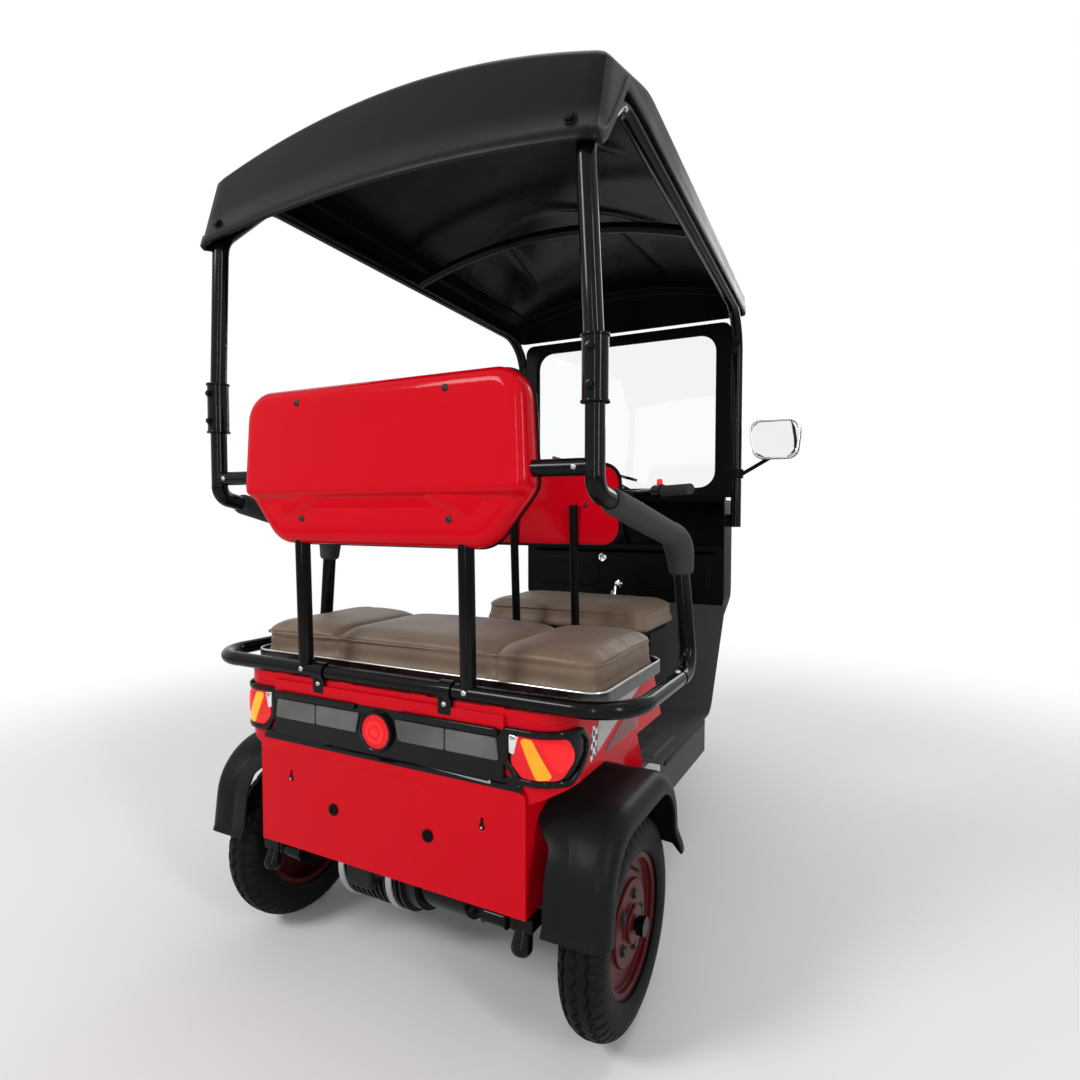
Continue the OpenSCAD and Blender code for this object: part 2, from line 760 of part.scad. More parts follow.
module roof_frame() {
    bow_half = rail_x(bow_y);
    bow_r = (bow_half * bow_half + bow_rise * bow_rise) / (2 * bow_rise);
    bow_angle = asin(bow_half / bow_r);
    color(black_paint) from_axle() {
        both_sides() difference() {
            union() {
                bent_tube(roof_route(), roof_bends, tube_d);
                translate([post_x, post_y, post_joint_z - sleeve_h / 2]) cylinder(h = sleeve_h, d = sleeve_d);
            }
            rod([post_x, post_y, post_joint_z - sleeve_h], [post_x, post_y, post_joint_z],
                tube_d + 2 * seat_gap);
        }
        both_sides() block([fairing_half + seat_gap, screen_y - wall, pillar_foot_z],
            [pillar_x, screen_y + wall, pillar_foot_z + tab_h]);
        translate([0, bow_y, roof_edge_z(bow_y) + bow_rise - bow_r]) rotate([90, 0, 0])
            rotate([0, 0, 90 - bow_angle]) rotate_extrude(angle = 2 * bow_angle) translate([bow_r, 0])
                circle(d = bow_d);
    }
}

// Roof: an arched moulding with a leaning rear skirt, open below
roof_peak_y = 40;
roof_lean = 86;
roof_rear_rise = 13;
roof_front_r = 150;
skirt_arch = 38;
roof_corner_r = 50;
module roof_arch_prism(t, tilt) {
    span = roof_front + roof_back;
    arch_r = (roof_back_half * roof_back_half + roof_arch * roof_arch) / (2 * roof_arch);
    translate([0, roof_peak_y, roof_z]) rotate([tilt, 0, 0]) translate([0, 2 * span, -arch_r])
        rotate([90, 0, 0]) cylinder(h = 4 * span, r = arch_r - t, $fn = fine_fn);
}
module roof_plan(t) {
    polygon(rounded(two_sided([
        [roof_half(-roof_back) - t, -roof_back + t], [roof_half(roof_front) - t, roof_front - t]
    ]), twice([roof_corner_r - t, roof_corner_r - t])));
}
module roof_solid(t) {
    ceiling_z = roof_z + overrun;
    low_z = skirt_z - (t > 0 ? overrun : 0);
    sweep_y = -27;
    front_z = roof_edge_z(roof_front);
    intersection() {
        along_z(low_z, ceiling_z) roof_plan(t);
        roof_arch_prism(t, -roof_fall);
        roof_arch_prism(t, roof_rear_rise);
        along_x(-roof_back_half, roof_back_half) polygon(t > 0 ? rounded([
            [-roof_back + t, low_z], [roof_front - t, low_z], [roof_front - t, roof_z - roof_arch + t],
            [roof_front - t - roof_front_r, ceiling_z], [-roof_back + roof_lean + t, ceiling_z]
        ], [0, 0, 0, 0, 0]) : rounded([
            [-roof_back, low_z], [-roof_back + roof_corner_r, low_z], [sweep_y, edge_z],
            [roof_front, front_z], [roof_front, roof_z - roof_arch],
            [roof_front - roof_front_r, ceiling_z], [-roof_back + roof_lean, ceiling_z]
        ], [0, 0, roof_corner_r, 0, 0, 0, 0]));
    }
}
module roof_shell() {
    skirt_r = (roof_back_half * roof_back_half + skirt_arch * skirt_arch) / (2 * skirt_arch);
    color(black_plastic) from_axle() difference() {
        roof_solid(0);
        roof_solid(wall);
        translate([0, -roof_back + roof_corner_r, skirt_z + skirt_arch - skirt_r]) rotate([90, 0, 0])
            cylinder(h = roof_corner_r + overrun, r = skirt_r, $fn = fine_fn);
    }
}

// Windscreen: a moulded surround between the pillars and its clear pane
frame_t = 22;
frame_edge = 26;
screen_r = 60;
function screen_outline(t) = two_sided([
    [screen_half + t, screen_low_z - t], [screen_half + t, screen_low_z + screen_h + t]
]);
module windscreen_frame() {
    half = pillar_x - tube_d / 2 - seat_gap;
    color(black_plastic) from_axle() along_y(screen_y - frame_t / 2, screen_y + frame_t / 2) difference() {
        polygon(rounded(two_sided([
            [half, screen_low_z - frame_edge], [half, screen_low_z + screen_h + frame_edge]
        ]), twice([0, screen_r / 2])));
        polygon(rounded(screen_outline(0), twice([screen_r, screen_r])));
    }
}
pane_t = 4;
module windscreen_pane() {
    color(clear) from_axle() along_y(screen_y - pane_t / 2, screen_y + pane_t / 2)
        polygon(rounded(screen_outline(-seat_gap), twice([screen_r, screen_r])));
}

// Front fairing: a hollow moulding in front of the driver's legs, open to the rear
fairing_r = 70;
fairing_low_half = 300;
chin_z = floor_z;
chin_y = 920;
brow_z = 660;
brow_y = 1085;
brow_low_z = 560;
function fairing_front_outline(t) = two_sided([
    [fairing_low_half - t, chin_z - overrun], [fairing_half - t, brow_z],
    [fairing_half - t, fairing_top_z - t]
]);
function fairing_side(t) = let (open_y = fairing_back - (t > 0 ? overrun : 0)) [
    [toe_y + 2 * wall, chin_z + t], [chin_y - t, chin_z + t], [brow_y - t, brow_low_z + t],
    [fairing_front - t, brow_z], [fairing_front - t, fairing_top_z + overrun],
    [open_y, fairing_top_z + overrun], [open_y, toe_top_z]
];
function fairing_plan(t) = two_sided([
    [fairing_half - t, toe_y - overrun], [fairing_half - t, fairing_front - t]
]);
module fairing_core(t) {
    intersection() {
        along_y(toe_y - overrun, fairing_front + overrun)
            polygon(rounded(fairing_front_outline(t), twice([0, 0, fairing_r / 2])));
        along_x(-fairing_half, fairing_half) polygon(fairing_side(t));
        along_z(chin_z - overrun, fairing_top_z + overrun)
            polygon(rounded(fairing_plan(t), twice([0, fairing_r - t])));
    }
}

// Space kept clear of the toe board, just under and in front of it
module toe_board_clearance() {
    slope = unit([fairing_back - toe_y, toe_top_z - floor_z]);
    under = [slope.y, -slope.x] * (wall + seat_gap);
    along_x(-floor_half - overrun, floor_half + overrun) polygon([
        [toe_y - overrun, floor_z - wall - seat_gap], [toe_y + 2 * wall, floor_z - wall - seat_gap],
        [fairing_back, toe_top_z] + under, [fairing_back, toe_top_z + overrun],
        [toe_y - overrun, toe_top_z + overrun]
    ]);
}
module head_tube_hole(grow) {
    on_steering() translate([0, 0, crown_h - overrun])
        cylinder(h = head_len + crown_t + 4 * overrun, d = head_d + 2 * grow);
}
module front_fairing() {
    color(black_plastic) from_axle() difference() {
        fairing_core(0);
        fairing_core(wall);
        toe_board_clearance();
        head_tube_hole(seat_gap);
        rod([0, beam_front - beam_w / 2, beam_top_z - beam_h / 2],
            steer_foot + [0, -sin(rake), cos(rake)] * (head_low + down_tube_top),
            down_tube_d + 2 * move_gap);
    }
}

// Inner panel that closes the fairing towards the driver, with a shelf under the handlebar
shelf_z = 828;
module inner_panel() {
    half = fairing_half - wall - seat_gap;
    shelf_front = fairing_front - wall - seat_gap;
    color(black_plastic) from_axle() difference() {
        intersection() {
            along_x(-half, half) polygon([
                [fairing_back, toe_top_z + seat_gap], [fairing_back + wall, toe_top_z + seat_gap],
                [fairing_back + wall, shelf_z - wall], [shelf_front, shelf_z - wall],
                [shelf_front, shelf_z], [fairing_back, shelf_z]
            ]);
            along_z(toe_top_z, shelf_z)
                polygon(rounded(fairing_plan(wall + seat_gap), twice([0, fairing_r - wall])));
            along_y(fairing_back - overrun, fairing_front)
                polygon(fairing_front_outline(wall + seat_gap));
        }
        head_tube_hole(seat_gap);
    }
}

// Nose cowl in front of the fairing, over the head tube, with the headlamp's opening
nose_half = 150;
nose_depth = 120;
nose_low_z = 648;
nose_h = 322;
nose_r = 110;
headlamp_z = 830;
module nose_core(t) {
    high = nose_low_z + nose_h;
    tip = fairing_front + nose_depth;
    intersection() {
        along_z(nose_low_z - (t > 0 ? overrun : 0), high - t)
            polygon(rounded(two_sided([
                [nose_half - t, fairing_front - (t > 0 ? overrun : 0)], [nose_half - t, tip - t]
            ]), twice([0, nose_r - t])));
        along_x(-nose_half, nose_half) polygon(rounded([
            [fairing_front - overrun, nose_low_z - overrun], [tip - nose_r / 2 - t, nose_low_z - overrun],
            [tip - t, headlamp_z], [tip - nose_r / 2 - t, high - t], [fairing_front - overrun, high - t]
        ], [0, 0, nose_r, 0, 0]));
    }
}
module nose_cowl() {
    color(red_paint) from_axle() difference() {
        nose_core(0);
        nose_core(wall);
        head_tube_hole(seat_gap);
        translate([0, fairing_front + wall, headlamp_z]) rotate([-90, 0, 0])
            cylinder(h = nose_depth + overrun, d = headlamp_d + 2 * seat_gap);
    }
}

// Round headlamp: a bowl with a domed lens
headlamp_depth = 100;
lens_dome = 14;
module headlamp() {
    r = headlamp_d / 2;
    ball_r = (r * r + lens_dome * lens_dome) / (2 * lens_dome);
    front = fairing_front + nose_depth - lens_dome;
    color(clear) from_axle() translate([0, front, headlamp_z]) rotate([-90, 0, 0]) {
        translate([0, 0, -headlamp_depth]) cylinder(h = headlamp_depth, r = r);
        intersection() {
            translate([0, 0, lens_dome - ball_r]) sphere(r = ball_r, $fn = fine_fn);
            cylinder(h = lens_dome, r = r);
        }
    }
}

// Mirrors on arms clamped to the front pillars
mirror_x = 420;
mirror_z = 1100;
mirror_y = 1035;
mirror_t = 26;
mirror_taper = 22;
mirror_r = 34;
mirror_arm_d = 12;
mirror_clamp_z = 1058;
mirror_clamp_h = 28;
glass_t = 3;
function mirror_outline(t) = rounded([
    [mirror_x + mirror_taper + t, mirror_z + t], [mirror_x + mirror_w - mirror_taper / 2 - t, mirror_z + t],
    [mirror_x + mirror_w - t, mirror_z + mirror_h - t], [mirror_x + t, mirror_z + mirror_h - t]
], [mirror_r, mirror_r, mirror_r, mirror_r]);
module mirrors() {
    back = mirror_y + mirror_t;
    color(black_plastic) from_axle() both_sides() difference() {
        union() {
            along_y(mirror_y, back) polygon(mirror_outline(0));
            translate([pillar_x, screen_y, mirror_clamp_z - mirror_clamp_h / 2])
                cylinder(h = mirror_clamp_h, d = tube_d + 3 * wall);
            rod([pillar_x + tube_d / 2 + wall, screen_y, mirror_clamp_z],
                [mirror_x + mirror_w / 2, mirror_y + mirror_t / 2, mirror_z + mirror_arm_d], mirror_arm_d);
        }
        along_y(mirror_y - overrun, mirror_y + glass_t) polygon(mirror_outline(wall));
        translate([pillar_x, screen_y, mirror_clamp_z - mirror_clamp_h])
            cylinder(h = 2 * mirror_clamp_h, d = tube_d + 2 * seat_gap);
        block([pillar_x - tube_d, screen_y - tube_d, mirror_clamp_z - mirror_clamp_h],
            [pillar_x - tube_d / 2, screen_y + tube_d, mirror_clamp_z + mirror_clamp_h]);
    }
}
module mirror_glasses() {
    color(clear) from_axle() both_sides() along_y(mirror_y + wall / 4, mirror_y + glass_t)
        polygon(mirror_outline(wall + seat_gap));
}

// Rear mudguards: arched mouldings with a lip on the outer edge, fixed to the body along the top of the
// arch and cut back to the tyre below
guard_over = 19;
guard_out = track / 2 + tyre_w / 2 + guard_over;
guard_in_gap = 8;
guard_in = track / 2 - tyre_w / 2 - guard_in_gap;
guard_fix_z = 404;
guard_top_z = 442;
guard_end_z = 258;
guard_half_l = 208;
guard_r = 125;
guard_lip = 24;
function guard_outline(t) = rounded([
    [-guard_half_l + t, guard_end_z - t], [guard_half_l - t, guard_end_z - t],
    [guard_half_l - guard_lip - t, guard_top_z - t], [-guard_half_l + guard_lip + t, guard_top_z - t]
], [0, 0, guard_r - t, guard_r - t]);
module rear_mudguards() {
    color(black_plastic) from_axle() both_sides() difference() {
        along_x(body_low_half, guard_out) polygon(guard_outline(0));
        along_x(body_low_half - overrun, guard_out - wall) polygon(guard_outline(wall));
        along_x(body_low_half, guard_out + overrun) polygon(guard_outline(guard_lip));
        block([0, -guard_half_l - overrun, guard_end_z - overrun],
            [guard_in, guard_half_l + overrun, guard_fix_z]);
    }
}

// Rear axle: tubes and stubs on which the wheels turn, with the reduction housing
axle_tube_d = 56;
hub_in = 40;
hub_out = 36;
backplate_d = 150;
backplate_t = 6;
housing_d = 150;
housing_w = 110;
nut_d = 34;
nut_h = 14;
module axle_housing() {
    stub_in = track / 2 - hub_in - move_gap;
    stub_out = track / 2 + hub_out + move_gap;
    color(black_paint) from_axle() translate([0, 0, axle_z]) {
        bar_x(-stub_in, -motor_out - seat_gap, axle_tube_d);
        bar_x(0, stub_in, axle_tube_d);
        bar_x(seat_gap, housing_w, housing_d);
        both_sides() bar_x(stub_in - overrun, stub_out + nut_h, axle_d);
        both_sides() bar_x(stub_in - backplate_t, stub_in, backplate_d);
        both_sides() bar_x(stub_out, stub_out + nut_h, nut_d);
    }
}

// Finned motor on the axle
motor_d = 172;
motor_fin_d = 190;
motor_gap = 20;
motor_out = spring_in - motor_gap;
fin_t = 4;
fin_pitch = 14;
module drive_motor() {
    fins = floor((motor_out - 2 * fin_pitch) / fin_pitch);
    color(black_paint) from_axle() translate([0, 0, axle_z]) {
        bar_x(-motor_out, 0, motor_d);
        for (i = [1 : fins]) {
            bar_x(-motor_out + i * fin_pitch, -motor_out + i * fin_pitch + fin_t, motor_fin_d);
        }
    }
}

// Leaf springs between the axle tubes and the rail brackets
leaf_t = 8;
leaf_sag = 14;
leaf_count = 3;
leaf_shorter_share = 0.25;
module leaf_springs() {
    seat_z = axle_z + axle_tube_d / 2 + seat_gap;
    leaf_r = (spring_eye_y * spring_eye_y + leaf_sag * leaf_sag) / (2 * leaf_sag);
    color(steel) from_axle() both_sides() for (i = [0 : leaf_count - 1]) {
        half = spring_eye_y * (1 - leaf_shorter_share * (leaf_count - 1 - i));
        intersection() {
            translate([spring_in, 0, seat_z + i * leaf_t + leaf_r]) difference() {
                bar_x(0, spring_w, 2 * leaf_r, $fn = fine_fn);
                bar_x(-overrun, spring_w + overrun, 2 * (leaf_r - leaf_t), $fn = fine_fn);
            }
            block([0, -half, seat_z], [rail_spread, half, seat_z + leaf_count * leaf_t + 2 * leaf_sag]);
        }
    }
}

// Battery pack on its tray inside the body
battery_half = 200;
battery_back = -120;
battery_front = 200;
battery_h = 176;
module battery_pack() {
    low = beam_top_z + wall;
    color("slategray") from_axle()
        block([-battery_half, battery_back, low], [battery_half, battery_front, low + battery_h]);
}

// Fork: stem, crown, two legs, the axle and the handlebar's clamp
axle_nut_h = 12;
front_hub_half = 44;
module fork() {
    leg_x = fork_spread / 2;
    lug = 16;
    color(black_paint) from_axle() on_steering() difference() {
        union() {
            both_sides() translate([leg_x, fork_offset, -lug])
                cylinder(h = crown_h + crown_t / 2 + lug, d = fork_leg_d);
            along_z(crown_h, crown_h + crown_t) polygon(rounded(two_sided([
                [leg_x + fork_leg_d / 2 + wall, -stem_d / 2 - wall],
                [leg_x + fork_leg_d / 2 + wall, fork_offset + fork_leg_d / 2 + wall]
            ]), twice([fork_leg_d / 2, fork_leg_d / 2])));
            translate([0, 0, crown_h]) cylinder(h = clamp_h - crown_h, d = stem_d);
            translate([0, 0, clamp_h]) bar_x(-clamp_w / 2, clamp_w / 2, clamp_d);
            translate([0, fork_offset, 0]) bar_x(-leg_x - fork_leg_d / 2 - axle_nut_h,
                leg_x + fork_leg_d / 2 + axle_nut_h, axle_d);
        }
        translate([0, 0, clamp_h]) bar_x(-clamp_w, clamp_w, bar_d + 2 * seat_gap);
    }
}

// Handlebar with switch boxes and brake levers
bar_rise = 6;
bar_bend_shares = [0.226, 0.532];
bar_bend_back_shares = [0, 0.5];
switch_d = 40;
switch_w = 36;
lever_d = 9;
lever_gap = 34;
function bar_point(out_share, back_share) =
    [bar_half * out_share, bar_y - bar_sweep * back_share, bar_z + bar_rise * back_share];
function bar_bend(i) = bar_point(bar_bend_shares[i], bar_bend_back_shares[i]);
function grip_end() = bar_point(1, 1);
function grip_start() = grip_end() + unit(bar_bend(1) - grip_end()) * grip_len;
module handlebar() {
    inner = bar_bend(0);
    outer = bar_bend(1);
    along = unit(grip_end() - grip_start());
    bar_end = grip_end() - along * wall;
    bar_bend_r = 2 * bar_d;
    ahead = [-along.y, along.x, 0];
    box_end = grip_start() - along * seat_gap;
    box_start = box_end - along * switch_w;
    lever_root = (box_start + box_end) / 2;
    knee = lever_root + ahead * lever_gap;
    color(black_paint) from_axle() {
        bent_tube(concat([for (p = [bar_end, outer, inner]) [-p.x, p.y, p.z]], [inner, outer, bar_end]),
            [0, bar_bend_r, bar_bend_r, bar_bend_r, bar_bend_r, 0], bar_d);
        both_sides() {
            rod(box_start, box_end, switch_d);
            rod(lever_root, knee, lever_d);
            rod(knee - ahead * lever_d / 4, knee + along * (grip_len - lever_gap / 2), lever_d);
        }
    }
}

// Rubber grips, closed at their outer ends
module grips() {
    color(black_plastic) from_axle() both_sides() difference() {
        rod(grip_start(), grip_end(), grip_d);
        rod(grip_start() - unit(grip_end() - grip_start()) * overrun,
            grip_end() - unit(grip_end() - grip_start()) * (wall - seat_gap), bar_d + 2 * seat_gap);
    }
}

// Front mudguard on the fork legs
front_guard_gap = 16;
front_guard_t = 4;
front_guard_half = 54;
front_guard_from = 5;
front_guard_to = 160;
boss_d = 26;
module front_mudguard() {
    in_r = tyre_d / 2 + front_guard_gap;
    color(black_plastic) from_axle() on_steering() translate([0, fork_offset, 0]) {
        rotate([0, 90, 0]) rotate([0, 0, 90]) rotate([0, 0, front_guard_from])
            rotate_extrude(angle = front_guard_to - front_guard_from, $fn = fine_fn)
                translate([in_r, -front_guard_half]) square([front_guard_t, 2 * front_guard_half]);
        both_sides() translate([0, 0, in_r + front_guard_t / 2]) bar_x(front_guard_half - front_guard_t,
            fork_spread / 2 - fork_leg_d / 2 - seat_gap, boss_d);
    }
}

// Tyre with a round section, seated between the rim's edges
module tyre(at_x, at_y) {
    section_r = tyre_w / 2;
    color("dimgray") from_axle() translate([at_x, at_y, axle_z]) rotate([0, 90, 0])
        rotate_extrude(convexity = 4) difference() {
            translate([tyre_d / 2 - section_r, 0]) circle(r = section_r);
            translate([0, -tyre_w]) square([bead_d / 2 + seat_gap, 2 * tyre_w]);
            for (side = [-1, 1]) {
                translate([0, side * (tyre_w / 2 + rim_w / 2 - rim_flange - seat_gap) - tyre_w / 2])
                    square([rim_edge_d / 2 + seat_gap, tyre_w]);
            }
        }
}

// Rim: a barrel with two edges, a stepped disc and a bored hub; out_side is the outer side's sign
rim_flange = 4;
rim_barrel_t = 5;
disc_t = 5;
disc_at = 14;
disc_step = 8;
disc_step_d = 150;
hub_d = 66;
module rim(at_x, at_y, out_side, hub_low, hub_high) {
    r = bead_d / 2;
    color(maroon_paint) from_axle() translate([at_x, at_y, axle_z]) mirror([out_side < 0 ? 1 : 0, 0, 0])
        rotate([0, 90, 0]) rotate_extrude(convexity = 4) {
            translate([r - rim_barrel_t, -rim_w / 2]) square([rim_barrel_t, rim_w]);
            for (y = [-rim_w / 2, rim_w / 2 - rim_flange]) {
                translate([r - rim_barrel_t, y]) square([rim_edge_d / 2 - r + rim_barrel_t, rim_flange]);
            }
            translate([disc_step_d / 2 - disc_t, disc_at])
                square([r - disc_step_d / 2 + disc_t - rim_barrel_t / 2, disc_t]);
            translate([disc_step_d / 2 - disc_t, disc_at]) square([disc_t, disc_step + disc_t]);
            translate([hub_d / 2 - disc_t, disc_at + disc_step])
                square([disc_step_d / 2 - hub_d / 2 + disc_t, disc_t]);
            translate([axle_d / 2 + run_gap, -hub_low])
                square([hub_d / 2 - axle_d / 2 - run_gap, hub_low + hub_high]);
        }
}

module front_tyre() { tyre(0, wheelbase); }
module rear_tyre_left() { tyre(-track / 2, 0); }
module rear_tyre_right() { tyre(track / 2, 0); }
module front_rim() { rim(0, wheelbase, 1, front_hub_half, front_hub_half); }
module rear_rim_left() { rim(-track / 2, 0, -1, hub_in, hub_out); }
module rear_rim_right() { rim(track / 2, 0, 1, hub_in, hub_out); }

chassis_frame();
floor_pan();
rear_body();
rear_deck();
lamp_panel();
tail_lamps();
centre_lamp();
reflector_strips();
rear_rail();
armrest_frames();
armrest_pads();
backrest_frame();
backrest_shell();
backrest_cushion();
bench_tray();
bench_cushion();
driver_seat_frame();
driver_cushion();
driver_backrest_shell();
driver_backrest_cushion();
roof_frame();
roof_shell();
windscreen_frame();
windscreen_pane();
front_fairing();
inner_panel();
nose_cowl();
headlamp();
mirrors();
mirror_glasses();
rear_mudguards();
axle_housing();
drive_motor();
leaf_springs();
battery_pack();
fork();
handlebar();
grips();
front_mudguard();
front_tyre();
front_rim();
rear_tyre_left();
rear_rim_left();
rear_tyre_right();
rear_rim_right();
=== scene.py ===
"""Looks of a roofed electric passenger tricycle, dressed around its solids.

Metres, in the part's own frame: +X right, +Y forward, +Z up, with the origin on the ground. Places along Y
are counted from the rear axle, as in the part's source, and a mesh is shifted into the frame when it is built.
"""
import json
import logging
import math
from dataclasses import dataclass
from enum import Enum
from typing import Callable, Sequence

import bmesh
import bpy
import numpy as np
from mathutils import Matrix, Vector


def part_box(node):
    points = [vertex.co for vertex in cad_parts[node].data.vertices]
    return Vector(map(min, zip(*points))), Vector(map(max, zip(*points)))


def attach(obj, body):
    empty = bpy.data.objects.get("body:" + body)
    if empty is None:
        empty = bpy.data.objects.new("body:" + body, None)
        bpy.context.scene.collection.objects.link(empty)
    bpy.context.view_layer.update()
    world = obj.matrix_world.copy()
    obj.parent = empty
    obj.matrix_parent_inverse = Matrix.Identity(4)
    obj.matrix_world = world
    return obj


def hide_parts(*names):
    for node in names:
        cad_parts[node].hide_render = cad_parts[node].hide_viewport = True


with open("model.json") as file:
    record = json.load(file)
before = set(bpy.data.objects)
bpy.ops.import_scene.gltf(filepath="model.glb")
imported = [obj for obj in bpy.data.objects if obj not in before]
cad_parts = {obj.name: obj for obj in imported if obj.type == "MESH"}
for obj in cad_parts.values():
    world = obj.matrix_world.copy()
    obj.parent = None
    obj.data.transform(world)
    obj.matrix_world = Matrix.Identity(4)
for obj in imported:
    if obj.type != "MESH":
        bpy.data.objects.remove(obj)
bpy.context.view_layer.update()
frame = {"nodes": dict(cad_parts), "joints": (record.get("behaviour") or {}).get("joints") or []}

logging.basicConfig(level=logging.INFO, format="%(message)s")
log = logging.getLogger("tricycle")

Array = np.ndarray
Pair = tuple[float, float]
Triple = tuple[float, float, float]
Four = tuple[float, float, float, float]
Point = Sequence[float]
Object, Mesh = bpy.types.Object, bpy.types.Mesh
Node, Material, ShaderTree = bpy.types.Node, bpy.types.Material, bpy.types.ShaderNodeTree
Face = Callable[[Array, Array, Array], Array]
JOINTS = {joint["name"]: joint for joint in frame["joints"]}
AXLE_Y = JOINTS["rear_wheel_right_spin"]["pos_m"][1]
SHIFT = np.array([0.0, AXLE_Y, 0.0])
FLIP = np.array([-1.0, 1.0, 1.0])
SIDES = (-1.0, 1.0)
RIGHT, AHEAD, REAR, UP = (1.0, 0.0, 0.0), (0.0, 1.0, 0.0), (0.0, -1.0, 0.0), (0.0, 0.0, 1.0)
QUARTER, FULL = math.pi / 2, 2 * math.pi
ARC_STEPS = 12
FLOAT, VECTOR, COLOUR = "NodeSocketFloat", "NodeSocketVector", "NodeSocketColor"


class Body(Enum):
    """The bodies that pieces ride on."""

    CHASSIS = "chassis"
    STEERING = "steering"
    FRONT_WHEEL = "front_wheel"
    REAR_LEFT = "rear_wheel_left"
    REAR_RIGHT = "rear_wheel_right"


# Curves and grids

def grid_faces(rows: int, cols: int, wrap_rows: bool, wrap_cols: bool) -> Array:
    """Quads between neighbouring points of a grid.

    Args:
        rows: Number of rows of points.
        cols: Number of points in a row.
        wrap_rows: Whether the last row joins the first.
        wrap_cols: Whether each row closes on itself.

    Returns:
        Indices of the quads' corners, four to a line.
    """
    i, j = np.meshgrid(np.arange(rows - (not wrap_rows)), np.arange(cols - (not wrap_cols)), indexing="ij")
    below, beside = (i + 1) % rows, (j + 1) % cols
    corners = (i * cols + j, below * cols + j, below * cols + beside, i * cols + beside)
    return np.stack(corners, axis=-1).reshape(-1, 4)


def join(*parts: Array) -> Array:
    """Arrays set side by side as the coordinates of points."""
    return np.stack(parts, axis=-1)


def unit(vectors: Array) -> Array:
    """Vectors scaled to length one."""
    return vectors / np.linalg.norm(vectors, axis=-1, keepdims=True)


def heading(path: Array) -> Array:
    """Unit vectors along an open path."""
    return unit(np.gradient(path, axis=0))


def left_of(along: Array) -> Array:
    """Plane directions turned a quarter to the left."""
    return join(-along[:, 1], along[:, 0])


def even_run(path: Array) -> Array:
    """Length run at each point of an evenly spaced path."""
    return np.linspace(0.0, np.linalg.norm(np.diff(path, axis=0), axis=1).sum(), len(path))


def full_turn(count: int) -> Array:
    """Angles of one turn, evenly spaced."""
    return np.linspace(0.0, FULL, count, endpoint=False)


def ring_frames(path: Array, closed: bool) -> tuple[Array, Array]:
    """Two directions square to a path at each of its points.

    The tangent comes from the neighbouring points, the first direction is the tangent crossed with the axis
    that the path follows least, and the second is square to both.

    Args:
        path: Points along the path.
        closed: Whether the path returns to its start.

    Returns:
        The two directions as arrays of unit vectors.
    """
    tangent = unit(np.roll(path, -1, axis=0) - np.roll(path, 1, axis=0)) if closed else heading(path)
    axis = np.eye(3)[np.argmin(np.abs(tangent).max(axis=0))]
    side = unit(np.cross(tangent, axis))
    return side, np.cross(tangent, side)


def ease(value: Array, low: float, high: float) -> Array:
    """Share from 0 at low to 1 at high along a cubic ease."""
    share = np.clip((value - low) / (high - low), 0.0, 1.0)
    return share * share * (3.0 - 2.0 * share)


def ridge(value: Array, at: float | Array, width: float) -> Array:
    """Bell of height one round a value: e to the minus square of the distance over the width."""
    return np.exp(-((value - at) / width) ** 2)


def resample(path: Sequence[Point] | Array, count: int) -> Array:
    """Points spaced evenly along a path."""
    path = np.asarray(path, dtype=float)
    length = np.concatenate([[0.0], np.cumsum(np.linalg.norm(np.diff(path, axis=0), axis=1))])
    at = np.linspace(0.0, length[-1], count)
    return np.stack([np.interp(at, length, path[:, k]) for k in range(path.shape[1])], axis=-1)


def closed_resample(loop: Array, count: int) -> Array:
    """Points spaced evenly along a closed curve."""
    return resample(np.vstack([loop, loop[:1]]), count + 1)[:-1]


def corner_arcs(before: Array, at: Array, after: Array, radii: Point, steps: int) -> Array:
    """Arcs that round corner points between their neighbours.

    Each arc is the rational quadratic curve on its two tangents, whose middle weight is the cosine of half the
    turn, which makes it part of a circle.

    Args:
        before: Point before each corner.
        at: The corners.
        after: Point after each corner.
        radii: Radius at each corner.
        steps: Points in each arc.

    Returns:
        The arcs' points, one arc to a row.
    """
    u, v = unit(before - at), unit(after - at)
    half = np.arccos(np.clip((u * v).sum(axis=-1), -1.0, 1.0)) / 2
    reach = (np.asarray(radii) / np.tan(half))[:, None]
    share = np.broadcast_to(np.linspace(0.0, 1.0, steps), (len(at), steps))
    weights = join((1 - share) ** 2, 2 * share * (1 - share) * np.sin(half)[:, None], share ** 2)
    weights = weights / weights.sum(axis=-1, keepdims=True)
    knots = np.stack([at + u * reach, at, at + v * reach], axis=1)
    return weights @ knots


def route(corners: Sequence[Point], radii: Point, count: int, steps: int = ARC_STEPS) -> Array:
    """Evenly spaced points of a path through corner points whose inner turns are arcs.

    Args:
        corners: Corner points of the path.
        radii: Radius of each inner corner.
        count: Points wanted.
        steps: Points in each turn before the path is spaced out.

    Returns:
        Points along the path.
    """
    corner = np.asarray(corners, dtype=float)
    turns = corner_arcs(corner[:-2], corner[1:-1], corner[2:], radii, steps)
    return resample(np.vstack([corner[:1], turns.reshape(-1, corner.shape[1]), corner[-1:]]), count)


def outline(corners: Sequence[Point], radii: float | Point, count: int) -> Array:
    """Evenly spaced points of a closed plane curve whose corners are arcs, turning left.

    Args:
        corners: Corner points in order.
        radii: Radius of each corner, or one for all.
        count: Points wanted.

    Returns:
        Points of the curve.
    """
    corner = np.asarray(corners, dtype=float)
    radii = np.broadcast_to(radii, len(corner))
    turns = corner_arcs(np.roll(corner, 1, axis=0), corner, np.roll(corner, -1, axis=0), radii, ARC_STEPS)
    loop = turns.reshape(-1, 2)
    ahead = np.roll(loop, -1, axis=0)
    if (loop[:, 0] * ahead[:, 1] - ahead[:, 0] * loop[:, 1]).sum() < 0:
        loop = loop[::-1]
    return closed_resample(loop, count)


